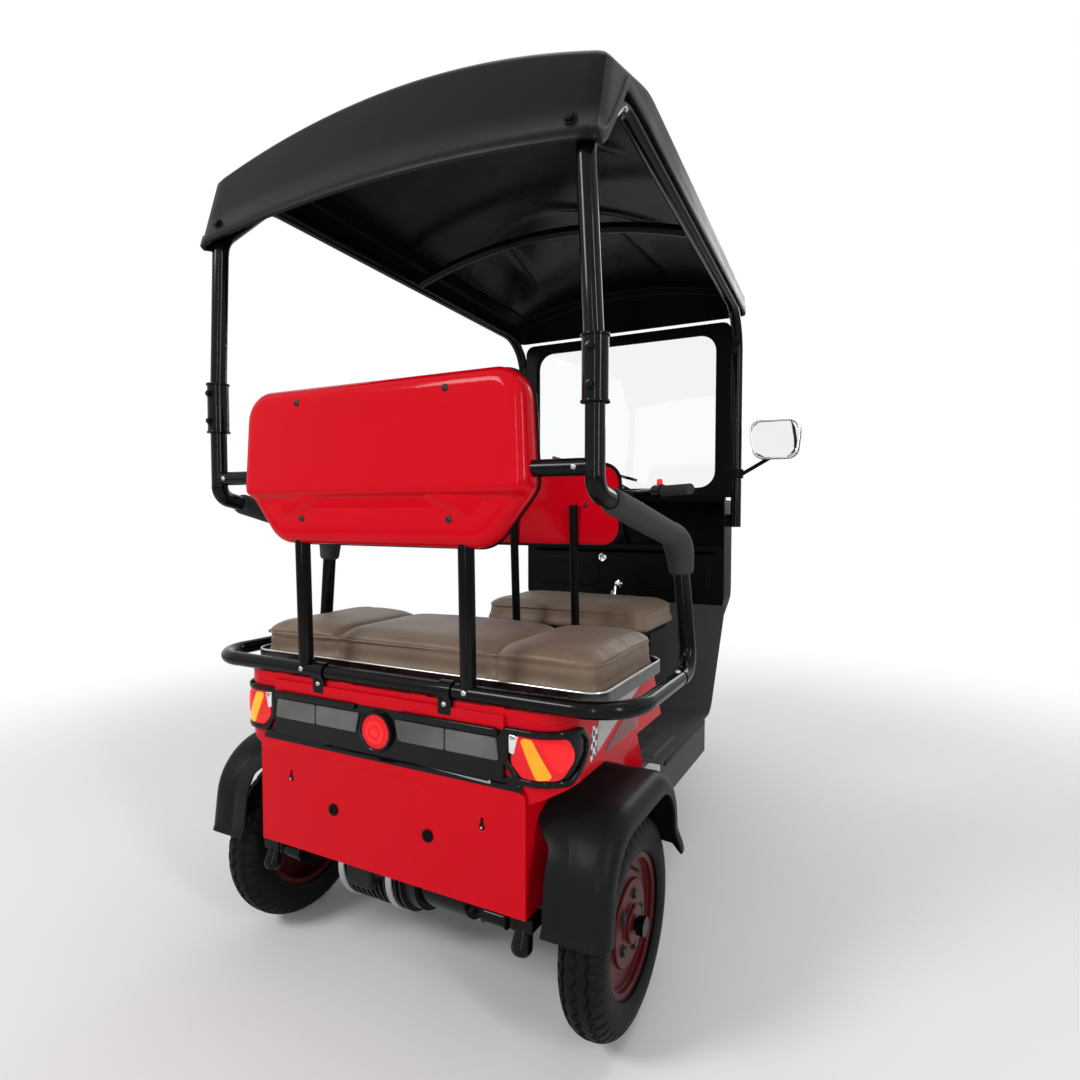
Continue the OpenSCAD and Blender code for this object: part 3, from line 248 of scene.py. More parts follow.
def box_outline(half_a: float, half_b: float, radius: float, centre: Point, count: int = 48) -> Array:
    """Closed outline of a rectangle with round corners about a centre."""
    corners = np.array([[-half_a, -half_b], [half_a, -half_b], [half_a, half_b], [-half_a, half_b]])
    return outline(corners + np.asarray(centre), radius, count)


def two_sided(*half: Point) -> list[Point]:
    """Right half of an outline from bottom to top, completed with its mirror image."""
    return [(a, b) for a, b in half] + [(-a, b) for a, b in reversed(half)]


def inset_by(loop: Array, distance: float) -> Array:
    """Closed plane curve moved inwards by a distance along its own normals."""
    return loop + left_of(unit(np.roll(loop, -1, axis=0) - np.roll(loop, 1, axis=0))) * distance


def upright(loop: Array, y: float | Array) -> Array:
    """Plane curve of places across and up, set at a place along Y."""
    return join(loop[..., 0], np.broadcast_to(y, loop.shape[:-1]), loop[..., 1])


def dome(height: float, edge: float, back: float = 0.0, crown: float = 0.0, rings: int = 5) -> Array:
    """Levels of a body with a flat back, a quarter-round edge and a crowned face.

    Args:
        height: Height of the face at its edge.
        edge: Radius of the edge.
        back: Height of the flat back.
        crown: Rise of the face's middle, falling off with the square of the distance.
        rings: Levels on the face.

    Returns:
        Rows of inset, share and height for Shape.patch.
    """
    turn = np.linspace(0.0, QUARTER, 5)
    over = join(edge * (1 - np.cos(turn)), np.ones(5), height - edge * (1 - np.sin(turn)))
    share = np.linspace(1.0, 0.0, rings + 1)[1:]
    face = join(np.full(rings, edge), share, height + crown * (1 - share ** 2))
    return np.vstack([[[0.0, 0.0, back], [0.0, 1.0, back]], over, face])


def frame_levels(height: float, width: float, edge: float) -> Array:
    """Levels of a raised border: up its outer side, over two quarter-round edges and down inside."""
    turn = np.linspace(0.0, QUARTER, 4)
    inset, sink = edge * (1 - np.cos(turn)), height - edge * (1 - np.sin(turn))
    outer, inner = (join(place, sink) for place in (inset, width - inset))
    rows = np.vstack([[[0.0, 0.0]], outer, inner[::-1], [[width, 0.0]]])
    return join(rows[:, 0], np.ones(len(rows)), rows[:, 1])


def rearward(y: float) -> Face:
    """Face seen from behind at a place along Y: across, up, and out to the rear."""
    return lambda a, b, h: join(a, y - h, b)


def forward(y: float) -> Face:
    """Face seen from the front at a place along Y: across, up, and out to the front."""
    return lambda a, b, h: join(a, y + h, b)


def rightward(x: float) -> Face:
    """Face seen from the right at a place along X: forward, up, and out to the right."""
    return lambda a, b, h: join(x + h, a, b)


def upward(z: float) -> Face:
    """Face seen from above at a height: across, forward, and up."""
    return lambda a, b, h: join(a, b, z + h)


def read_points(mesh: Mesh) -> Array:
    """Points of a mesh."""
    points = np.empty(len(mesh.vertices) * 3)
    mesh.vertices.foreach_get("co", points)
    return points.reshape(-1, 3)


def clean_mesh(mesh: Mesh, distance: float) -> None:
    """Merges a mesh's doubles and turns its faces outwards."""
    work = bmesh.new()
    work.from_mesh(mesh)
    bmesh.ops.remove_doubles(work, verts=work.verts, dist=distance)
    bmesh.ops.recalc_face_normals(work, faces=work.faces)
    work.to_mesh(mesh)
    work.free()


def new_object(name: str, data: bpy.types.ID) -> Object:
    """Links data to the scene as an object."""
    obj = bpy.data.objects.new(name, data)
    bpy.context.scene.collection.objects.link(obj)
    return obj


class Shape:
    """Points and faces gathered for one mesh."""

    def __init__(self) -> None:
        """Starts with nothing in it."""
        self.points: list[Array] = []
        self.faces: list[list[int]] = []
        self.count = 0

    def grid(self, points: Array, wrap_rows: bool = False, wrap_cols: bool = False,
             caps: bool = False) -> "Shape":
        """Adds a grid of points as quads.

        Args:
            points: Points in rows and columns.
            wrap_rows: Whether the last row joins the first.
            wrap_cols: Whether each row closes on itself.
            caps: Whether the first and the last row are closed by fans.

        Returns:
            This shape.
        """
        rows, cols = points.shape[:2]
        faces = grid_faces(rows, cols, wrap_rows, wrap_cols) + self.count
        self.points.append(points.reshape(-1, 3))
        self.faces.extend(faces.tolist())
        start, self.count = self.count, self.count + rows * cols
        if caps:
            for first, row in ((start, points[0]), (start + (rows - 1) * cols, points[-1])):
                ring = np.arange(cols)
                fan = join(first + ring, first + (ring + 1) % cols, np.full(cols, self.count))
                self.points.append(row.mean(axis=0, keepdims=True))
                self.faces.extend(fan.tolist())
                self.count += 1
        return self

    def patch(self, loop: Array, levels: Array, face: Face, ring: bool = False) -> "Shape":
        """Adds a body whose every level is an outline drawn inwards.

        A level's outline is moved in by its inset, shrunk towards the middle by its share and set at its height.

        Args:
            loop: Closed outline in the face's plane.
            levels: Rows of inset, share and height.
            face: Turns places on the face and heights into points in space.
            ring: Whether the last level joins the first.

        Returns:
            This shape.
        """
        middle = loop.mean(axis=0)
        plane = np.stack([inset_by(loop, inset) for inset in levels[:, 0]])
        plane = middle + levels[:, 1, None, None] * (plane - middle)
        height = np.broadcast_to(levels[:, 2, None], plane.shape[:2])
        return self.grid(face(plane[..., 0], plane[..., 1], height), wrap_rows=ring, wrap_cols=True)

    def tube(self, path: Array, radius: float | Array, sides: int = 16, closed: bool = False) -> "Shape":
        """Adds a round bar along a path: a circle carried square to it, with closed ends."""
        side, up = ring_frames(path, closed)
        turn = full_turn(sides)
        size = np.broadcast_to(np.asarray(radius, dtype=float), (len(path),))[:, None, None]
        ring = np.cos(turn)[None, :, None] * side[:, None, :] + np.sin(turn)[None, :, None] * up[:, None, :]
        return self.grid(path[:, None, :] + size * ring, wrap_rows=closed, wrap_cols=True, caps=not closed)

    def lathe(self, profile: Sequence[Point] | Array, centre: Point, axis: Point, sides: int = 48,
              closed: bool = False) -> "Shape":
        """Adds a profile of radius and height turned about an axis.

        Args:
            profile: Radius and height of each point, the height along the axis.
            centre: Point of the axis at height zero.
            axis: Direction of the axis.
            sides: Points round the axis.
            closed: Whether the profile closes on itself; an open one gets closed ends.

        Returns:
            This shape.
        """
        rows = np.asarray(profile, dtype=float)
        along = Vector(axis).normalized()
        side = np.asarray(along.orthogonal().normalized())
        up = np.cross(np.asarray(along), side)
        turn = full_turn(sides)
        ring = np.cos(turn)[:, None] * side + np.sin(turn)[:, None] * up
        points = (np.asarray(centre) + rows[:, 0, None, None] * ring[None, :, :]
                  + rows[:, 1, None, None] * np.asarray(along))
        return self.grid(points, wrap_rows=closed, wrap_cols=True, caps=not closed)

    def bolt(self, at: Point, axis: Point, radius: float) -> "Shape":
        """Adds a washer with a hexagon head on it, standing on a face along its axis."""
        washer = [(radius * 1.35, -0.001), (radius * 1.35, 0.0012), (radius * 0.9, 0.0016)]
        head = [(radius, 0.0012), (radius, 0.0045), (radius * 0.86, 0.0058), (radius * 0.3, 0.0061)]
        return self.lathe(washer, at, axis, sides=18).lathe(head, at, axis, sides=6)

    def screw(self, at: Point, axis: Point, radius: float) -> "Shape":
        """Adds a round-headed screw with a dimpled middle, standing on a face along its axis."""
        head = [(radius, -0.001), (radius, 0.0006), (radius * 0.85, 0.0022), (radius * 0.5, 0.0031),
                (radius * 0.34, 0.0031), (radius * 0.28, 0.0014)]
        return self.lathe(head, at, axis, sides=20)

    def mirrored(self) -> "Shape":
        """Adds the mirror image of everything so far across the middle plane."""
        points, faces = np.concatenate(self.points), list(self.faces)
        self.points.append(points * FLIP)
        self.faces.extend([[corner + self.count for corner in reversed(face)] for face in faces])
        self.count += len(points)
        return self

    def build(self, name: str, sharp: float = 40.0) -> Object:
        """Makes the mesh object, its doubles merged, its faces outwards and its edges smooth.

        Args:
            name: Name of the piece.
            sharp: Angle in degrees past which an edge stays sharp.

        Returns:
            The new object.
        """
        mesh = bpy.data.meshes.new(name)
        mesh.from_pydata((np.concatenate(self.points) + SHIFT).tolist(), [], self.faces)
        clean_mesh(mesh, 1e-6)
        mesh.polygons.foreach_set("use_smooth", np.ones(len(mesh.polygons), dtype=bool))
        mesh.set_sharp_from_angle(angle=math.radians(sharp))
        mesh.update()
        return new_object(name, mesh)

    def piece(self, name: str, finish: "Finish", *stands_for: str, body: Body = Body.CHASSIS,
              sharp: float = 40.0) -> Object:
        """Makes the mesh object and dresses it, in place of the solids that it stands for."""
        return dress(self.build(name, sharp), body, finish, stands_for)


# Effects shared by the finishes

class Nodes:
    """Nodes of one tree, made and joined by the names of their sockets."""

    def __init__(self, tree: bpy.types.NodeTree) -> None:
        """Works on a tree."""
        self.tree = tree

    def new(self, kind: str, constants: dict[str | int, object] | None = None, **options: object) -> Node:
        """New node.

        Args:
            kind: Type of the node.
            constants: Values of its inputs by name or number.
            **options: The node's own settings.

        Returns:
            The node.
        """
        node = self.tree.nodes.new(kind)
        for label, value in options.items():
            setattr(node, label, value)
        for label, value in (constants or {}).items():
            node.inputs[label].default_value = value
        return node

    def link(self, source: Node, out: str | int, sink: Node, into: str | int | None = None) -> None:
        """Joins an output to an input, which has the same name where none is given."""
        self.tree.links.new(source.outputs[out], sink.inputs[out if into is None else into])


def new_group(kind: str, name: str, inputs: dict[str, str], outputs: dict[str, str]) -> tuple:
    """New node group with its named sockets.

    Args:
        kind: Type of the tree.
        name: Name of the group.
        inputs: Socket types by input name.
        outputs: Socket types by output name.

    Returns:
        The group's nodes, its input node and its output node.
    """
    nodes = Nodes(bpy.data.node_groups.new(name, kind))
    for side, sockets in (("INPUT", inputs), ("OUTPUT", outputs)):
        for label, socket in sockets.items():
            nodes.tree.interface.new_socket(name=label, in_out=side, socket_type=socket)
    return nodes, nodes.new("NodeGroupInput"), nodes.new("NodeGroupOutput")


def mottle_group() -> ShaderTree:
    """Colour that drifts between two tones with a soft noise."""
    nodes, source, sink = new_group("ShaderNodeTree", "mottle", {"Vector": VECTOR, "Light": COLOUR, "Dark": COLOUR,
                                                                 "Scale": FLOAT}, {"Color": COLOUR})
    noise = nodes.new("ShaderNodeTexNoise", {"Detail": 3.0})
    mix = nodes.new("ShaderNodeMix", data_type="RGBA")
    for label in ("Vector", "Scale"):
        nodes.link(source, label, noise)
    nodes.link(noise, "Fac", mix, 0)
    nodes.link(source, "Light", mix, 6)
    nodes.link(source, "Dark", mix, 7)
    nodes.link(mix, 2, sink, "Color")
    return nodes.tree


def grain_group() -> ShaderTree:
    """Height of a moulded or embossed grain: small cells with fine noise between them."""
    nodes, source, sink = new_group("ShaderNodeTree", "grain", {"Vector": VECTOR, "Cell": FLOAT, "Fine": FLOAT},
                                    {"Height": FLOAT})
    cells = nodes.new("ShaderNodeTexVoronoi", feature="SMOOTH_F1")
    fine = nodes.new("ShaderNodeTexNoise", {"Detail": 2.0})
    both = nodes.new("ShaderNodeMath", {1: 0.4}, operation="MULTIPLY_ADD")
    for label, node in (("Cell", cells), ("Fine", fine)):
        nodes.link(source, "Vector", node)
        nodes.link(source, label, node, "Scale")
    nodes.link(fine, "Fac", both, 0)
    nodes.link(cells, "Distance", both, 2)
    nodes.link(both, "Value", sink, "Height")
    return nodes.tree


def wear_group() -> ShaderTree:
    """Roughness that varies in smears, as handling and fine dust leave it."""
    nodes, source, sink = new_group("ShaderNodeTree", "wear", {"Vector": VECTOR, "Low": FLOAT, "High": FLOAT,
                                                               "Scale": FLOAT}, {"Roughness": FLOAT, "Mask": FLOAT})
    noise = nodes.new("ShaderNodeTexNoise", {"Detail": 6.0, "Distortion": 0.8})
    spread = nodes.new("ShaderNodeMapRange", {"From Min": 0.3, "From Max": 0.75})
    for label in ("Vector", "Scale"):
        nodes.link(source, label, noise)
    nodes.link(noise, "Fac", spread, "Value")
    nodes.link(source, "Low", spread, "To Min")
    nodes.link(source, "High", spread, "To Max")
    nodes.link(spread, "Result", sink, "Roughness")
    nodes.link(noise, "Fac", sink, "Mask")
    return nodes.tree


MOTTLE, GRAIN, WEAR = mottle_group(), grain_group(), wear_group()


class Sheet(Nodes):
    """Nodes of one material: its shader, its output and its object coordinates."""

    def __init__(self, name: str) -> None:
        """Makes the material."""
        self.material = bpy.data.materials.new(name)
        self.material.use_nodes = True
        super().__init__(self.material.node_tree)
        self.tree.nodes.clear()
        self.shader = self.new("ShaderNodeBsdfPrincipled")
        self.out = self.new("ShaderNodeOutputMaterial")
        self.place = self.new("ShaderNodeTexCoord")
        self.link(self.shader, "BSDF", self.out, "Surface")

    def group(self, tree: ShaderTree, **values: object) -> Node:
        """Places an effect with its own values.

        Args:
            tree: The effect's node group.
            **values: Values of its inputs by name.

        Returns:
            The group node.
        """
        node = self.new("ShaderNodeGroup", values, node_tree=tree)
        self.link(self.place, "Object", node, "Vector")
        return node

    def bump(self, source: Node, out: str, depth: float) -> None:
        """Feeds a height into the shader's normal, depth in metres."""
        node = self.new("ShaderNodeBump", {"Distance": depth})
        self.link(source, out, node, "Height")
        self.link(node, "Normal", self.shader)

    def set(self, **values: object) -> None:
        """Sets constants on the shader's own sockets, spaces written as underscores."""
        for label, value in values.items():
            self.shader.inputs[label.replace("_", " ")].default_value = value


def opaque(colour: Triple) -> Four:
    """Colour with full cover."""
    return (*colour, 1.0)


@dataclass(frozen=True)
class Finish:
    """What every finish has: a name, the record's slot, two drifting tones and the range of its roughness."""

    name: str
    slot: str
    light: Triple
    dark: Triple
    low: float = 0.45
    high: float = 0.6

    def material(self) -> Material:
        """The finish as a material, made once."""
        return bpy.data.materials.get(self.name) or self.make()

    def make(self) -> Material:
        """Makes the material."""
        sheet = Sheet(self.name)
        tone = sheet.group(MOTTLE, Light=opaque(self.light), Dark=opaque(self.dark), Scale=6.0)
        sheet.link(tone, "Color", sheet.shader, "Base Color")
        self.surface(sheet, tone)
        return sheet.material

    def surface(self, sheet: Sheet, tone: Node) -> None:
        """Adds what the finish has beyond its tones, which a node puts out."""
        raise NotImplementedError

    def smears(self, sheet: Sheet, scale: float) -> Node:
        """Adds the roughness that varies in smears of a scale."""
        wear = sheet.group(WEAR, Low=self.low, High=self.high, Scale=scale)
        sheet.link(wear, "Roughness", sheet.shader)
        return wear

    @staticmethod
    def relief(sheet: Sheet, cell: float, fine: float, depth: float) -> None:
        """Adds a grain of cells and finer noise of a depth."""
        sheet.bump(sheet.group(GRAIN, Cell=cell, Fine=fine), "Height", depth)


@dataclass(frozen=True)
class Paint(Finish):
    """Gloss paint or gloss moulding under a clear coat, with a faint orange peel."""

    low: float = 0.1
    high: float = 0.2
    peel: float = 0.00003
    coat: float = 0.3
    gloss: float = 0.3

    def surface(self, sheet: Sheet, tone: Node) -> None:
        """Adds smears, peel and coat."""
        self.smears(sheet, 9.0)
        self.relief(sheet, 220.0, 140.0, self.peel)
        sheet.set(Coat_Weight=self.coat, Coat_Roughness=0.04, Specular_IOR_Level=self.gloss)


@dataclass(frozen=True)
class Moulding(Finish):
    """Matte or satin plastic and rubber with a moulded grain."""

    cell: float = 900.0
    finer: float = 1.7
    depth: float = 0.00012
    gloss: float = 0.25

    def surface(self, sheet: Sheet, tone: Node) -> None:
        """Adds smears and grain."""
        self.smears(sheet, 7.0)
        self.relief(sheet, self.cell, self.cell * self.finer, self.depth)
        sheet.set(Specular_IOR_Level=self.gloss)


@dataclass(frozen=True)
class Vinyl(Finish):
    """Soft vinyl with an embossed hide grain and a dull sheen."""

    low: float = 0.4
    high: float = 0.56
    depth: float = 0.0003

    def surface(self, sheet: Sheet, tone: Node) -> None:
        """Adds smears, hide grain and sheen."""
        self.smears(sheet, 5.0)
        self.relief(sheet, 420.0, 900.0, self.depth)
        sheet.set(Sheen_Weight=0.08, Sheen_Roughness=0.4, Specular_IOR_Level=0.35)


@dataclass(frozen=True)
class Metal(Finish):
    """Bare or plated metal with fine marks."""

    low: float = 0.2
    high: float = 0.36
    marks: float = 0.00001

    def surface(self, sheet: Sheet, tone: Node) -> None:
        """Adds smears and marks."""
        sheet.bump(self.smears(sheet, 40.0), "Mask", self.marks)
        sheet.set(Metallic=1.0)


@dataclass(frozen=True)
class Lens(Finish):
    """Coloured lamp lens with moulded prisms, lit a little from behind; on the films and the switch, a painted glow."""

    glow: float = 0.0
    prism: float = 260.0
    depth: float = 0.0003

    def surface(self, sheet: Sheet, tone: Node) -> None:
        """Adds prisms and glow."""
        wave = sheet.new("ShaderNodeTexWave", {"Scale": self.prism}, bands_direction="X")
        sheet.link(sheet.place, "Object", wave, "Vector")
        sheet.bump(wave, "Fac", self.depth)
        sheet.set(Roughness=0.12, Coat_Weight=0.2, Coat_Roughness=0.03, Specular_IOR_Level=0.2,
                  Emission_Strength=self.glow)
        sheet.link(tone, "Color", sheet.shader, "Emission Color")


@dataclass(frozen=True)
class Decal(Finish):
    """Printed film with fine slanted hatching, or with squares."""

    scale: float = 95.0
    squares: bool = False

    def make(self) -> Material:
        """Makes the material."""
        sheet = Sheet(self.name)
        if self.squares:
            pattern = sheet.new("ShaderNodeTexChecker", {"Scale": self.scale})
        else:
            pattern = sheet.new("ShaderNodeTexWave", {"Scale": self.scale, "Distortion": 1.5},
                                bands_direction="DIAGONAL")
        mix = sheet.new("ShaderNodeMix", data_type="RGBA")
        mix.inputs[6].default_value = opaque(self.dark)
        mix.inputs[7].default_value = opaque(self.light)
        sheet.link(sheet.place, "Object", pattern, "Vector")
        sheet.link(pattern, "Fac", mix, 0)
        sheet.link(mix, 2, sheet.shader, "Base Color")
        sheet.set(Roughness=0.3, Specular_IOR_Level=0.3)
        return sheet.material


@dataclass(frozen=True)
class Glass(Finish):
    """Clear pane with a slight tint and faint smears."""

    low: float = 0.0
    high: float = 0.025

    def surface(self, sheet: Sheet, tone: Node) -> None:
        """Adds smears and clearness."""
        self.smears(sheet, 12.0)
        sheet.set(IOR=1.45, Transmission_Weight=1.0)


RED = Paint("gloss_red", "body_red", (0.57, 0.0015, 0.0095), (0.51, 0.001, 0.008), coat=0.08, gloss=0.05)
BLACK_TUBE = Paint("gloss_black_tube", "frame_black", (0.004, 0.004, 0.0045), (0.0025, 0.0025, 0.0028), coat=0.1,
                   gloss=0.08)
BLACK_GLOSS = Paint("gloss_black_panel", "panel_black", (0.005, 0.005, 0.0055), (0.003, 0.003, 0.003), 0.06, 0.12,
                    coat=0.12, gloss=0.1)
MAROON = Paint("maroon_rim", "rim_maroon", (0.075, 0.006, 0.007), (0.05, 0.0035, 0.0045), 0.28, 0.42, coat=0.05,
               gloss=0.12)
ROOF_BLACK = Moulding("grained_black", "roof_black", (0.0062, 0.0066, 0.0076), (0.0045, 0.0048, 0.0055), 0.32, 0.42,
                      gloss=0.06)
GUARD_BLACK = Moulding("grained_charcoal", "roof_black", (0.0095, 0.0098, 0.0108), (0.007, 0.0072, 0.008), 0.34, 0.44,
                       gloss=0.07)
LINING = Paint("lining_black", "roof_black", (0.0028, 0.0028, 0.0036), (0.0018, 0.0018, 0.0024), 0.2, 0.3, coat=0.0,
               gloss=0.06)
TRIM_BLACK = Moulding("satin_black", "trim_black", (0.0045, 0.0045, 0.005), (0.003, 0.003, 0.0034), 0.34, 0.48,
                      gloss=0.05)
FLOOR_BLACK = Moulding("floor_black", "floor_black", (0.0085, 0.0085, 0.009), (0.006, 0.006, 0.0065), 0.5, 0.65,
                       gloss=0.05)
FOAM = Moulding("foam_black", "foam_black", (0.0075, 0.0075, 0.008), (0.005, 0.005, 0.0055), 0.5, 0.7, cell=330.0,
                depth=0.0008, gloss=0.07)
VINYL = Vinyl("taupe_vinyl", "vinyl_brown", (0.178, 0.124, 0.084), (0.158, 0.108, 0.072))
STEEL = Metal("bright_sheet", "tray_steel", (0.5, 0.5, 0.49), (0.45, 0.45, 0.44), 0.3, 0.36)
# Steel of the bench's tray, darkened to paint in the shade and the dark reflection on its sides.
TRAY_STEEL_PAINTED_SHADE = Metal("tray_steel_painted_shade", "tray_steel", (0.11, 0.11, 0.108), (0.07, 0.07, 0.068), 0.24, 0.34)
CAST_BLACK = Moulding("cast_black", "motor_alloy", (0.014, 0.014, 0.0145), (0.009, 0.009, 0.0095), 0.3, 0.45,
                      cell=500.0, depth=0.0003, gloss=0.15)
SPRING = Metal("dark_spring", "spring_steel", (0.05, 0.05, 0.053), (0.03, 0.03, 0.032), 0.4, 0.6)
CHROME = Metal("chrome", "mirror", (0.82, 0.83, 0.84), (0.76, 0.77, 0.78), 0.05, 0.12)
MIRROR = Metal("silvered", "mirror", (0.86, 0.87, 0.88), (0.84, 0.85, 0.86), 0.01, 0.03)
TYRE_RUBBER = Moulding("tyre_rubber", "tyre", (0.0062, 0.0062, 0.0065), (0.004, 0.004, 0.004), 0.45, 0.6, cell=500.0,
                       depth=0.00015, gloss=0.08)
BATTERY = Moulding("battery_case", "battery_grey", (0.12, 0.12, 0.13), (0.09, 0.09, 0.1))
RED_LENS = Lens("red_lens", "lamp_red", (0.75, 0.006, 0.012), (0.6, 0.003, 0.01), glow=0.25)
# Bright red lens of the stop lamps and the middle lamp's rings, lit from behind; on the handlebar's switch, which is no
# lamp, its glow is painted.
BRIGHT_RED_LENS = Lens("bright_red_lens", "lamp_red", (0.98, 0.012, 0.012), (0.9, 0.006, 0.008), glow=0.6)
AMBER_LENS = Lens("amber_lens", "lamp_red", (1.0, 0.46, 0.015), (1.0, 0.12, 0.002), glow=0.7)
# Dark red print of the side films' wedges, made as a lens with a faint glow: a painted glow, as the films are no lamp.
DARK_RED_FILM_GLOW = Lens("dark_red_film_painted_glow", "lamp_red", (0.16, 0.003, 0.006), (0.1, 0.002, 0.004), glow=0.1)
PALE_LENS = Lens("pale_reflector", "reflector", (0.2, 0.195, 0.19), (0.02, 0.02, 0.02), prism=420.0)
CLEAR = Glass("clear_pane", "glass", (0.96, 0.98, 0.98), (0.94, 0.96, 0.96))
LAMP_GLASS = Glass("lamp_glass", "headlamp", (0.98, 0.99, 0.99), (0.96, 0.97, 0.97))
HATCH = Decal("hatched_film", "reflector", (0.62, 0.6, 0.6), (0.2, 0.19, 0.19))
CHEQUER = Decal("chequered_film", "reflector", (0.75, 0.74, 0.74), (0.02, 0.018, 0.018), squares=True)

NODE_FINISHES: dict[Finish, tuple[str, ...]] = {
    RED: ("rear_body", "rear_deck"),
    BLACK_TUBE: ("chassis_frame", "rear_rail", "armrest_frames", "backrest_frame", "roof_frame", "axle_housing",
                 "fork", "handlebar"),
    BLACK_GLOSS: ("lamp_panel",),
    MAROON: ("front_rim", "rear_rim_left", "rear_rim_right"),
    TRIM_BLACK: ("driver_seat_frame", "windscreen_frame", "inner_panel", "mirrors"),
    FLOOR_BLACK: ("floor_pan",),
    FOAM: ("grips",),
    TRAY_STEEL_PAINTED_SHADE: ("bench_tray",),
    CAST_BLACK: ("drive_motor",),
    SPRING: ("leaf_springs",),
    MIRROR: ("mirror_glasses",),
    BATTERY: ("battery_pack",),
    CLEAR: ("windscreen_pane",),
}


def paint(obj: Object, finish: Finish) -> None:
    """Gives an object a finish as its only material."""
    obj.data.materials.clear()
    obj.data.materials.append(finish.material())


def dress(obj: Object, body: Body, finish: Finish, stands_for: Sequence[str] = ()) -> Object:
    """Gives a new piece its finish and the body that it rides on.

    Args:
        obj: The piece.
        body: The body it moves with.
        finish: Its finish.
        stands_for: Solids that it is shown in place of.

    Returns:
        The piece.
    """
    paint(obj, finish)
    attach(obj, body.value)
    if stands_for:
        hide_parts(*stands_for)
    log.info("%s: %d faces on %s", obj.name, len(obj.data.polygons), body.value)
    return obj


@dataclass
class Solids:
    """The solids that stay in view, with their finishes and softened edges."""

    edge: float = 0.0025
    weld: float = 0.00002
    crease: float = math.radians(32)
    sharp: float = math.radians(50)

    def build(self) -> None:
        """Puts each finish on its solids and rounds their edges."""
        shading = self.shading()
        for finish, names in NODE_FINISHES.items():
            for name in names:
                obj = frame["nodes"][name]
                paint(obj, finish)
                self.soften(obj, shading)

    def shading(self) -> bpy.types.GeometryNodeTree:
        """Nodes that shade faces smoothly and keep edges past the crease angle sharp."""
        socket = {"Geometry": "NodeSocketGeometry"}
        nodes, source, sink = new_group("GeometryNodeTree", "smooth_by_angle", socket, socket)
        faces = nodes.new("GeometryNodeSetShadeSmooth")
        edges = nodes.new("GeometryNodeSetShadeSmooth", {"Shade Smooth": False}, domain="EDGE")
        angle = nodes.new("GeometryNodeInputMeshEdgeAngle")
        past = nodes.new("FunctionNodeCompare", {1: self.sharp}, operation="GREATER_THAN")
        for before, after in ((source, faces), (faces, edges), (edges, sink)):
            nodes.link(before, "Geometry", after)
        nodes.link(angle, "Unsigned Angle", past, 0)
        nodes.link(past, "Result", edges, "Selection")
        return nodes.tree

    def soften(self, obj: Object, shading: bpy.types.GeometryNodeTree) -> None:
        """Joins a solid's loose triangles, rounds its sharp edges a little and shades it smoothly.

        Args:
            obj: The solid.
            shading: Nodes that set the smooth faces and the sharp edges.
        """
        obj.modifiers.new("weld", "WELD").merge_threshold = self.weld
        bevel = obj.modifiers.new("soft_edges", "BEVEL")
        bevel.width, bevel.segments = self.edge, 2
        bevel.limit_method, bevel.angle_limit = "ANGLE", self.crease
        bevel.use_clamp_overlap = True
        obj.modifiers.new("shading", "NODES").node_group = shading
        obj.modifiers.new("even_normals", "WEIGHTED_NORMAL").keep_sharp = True


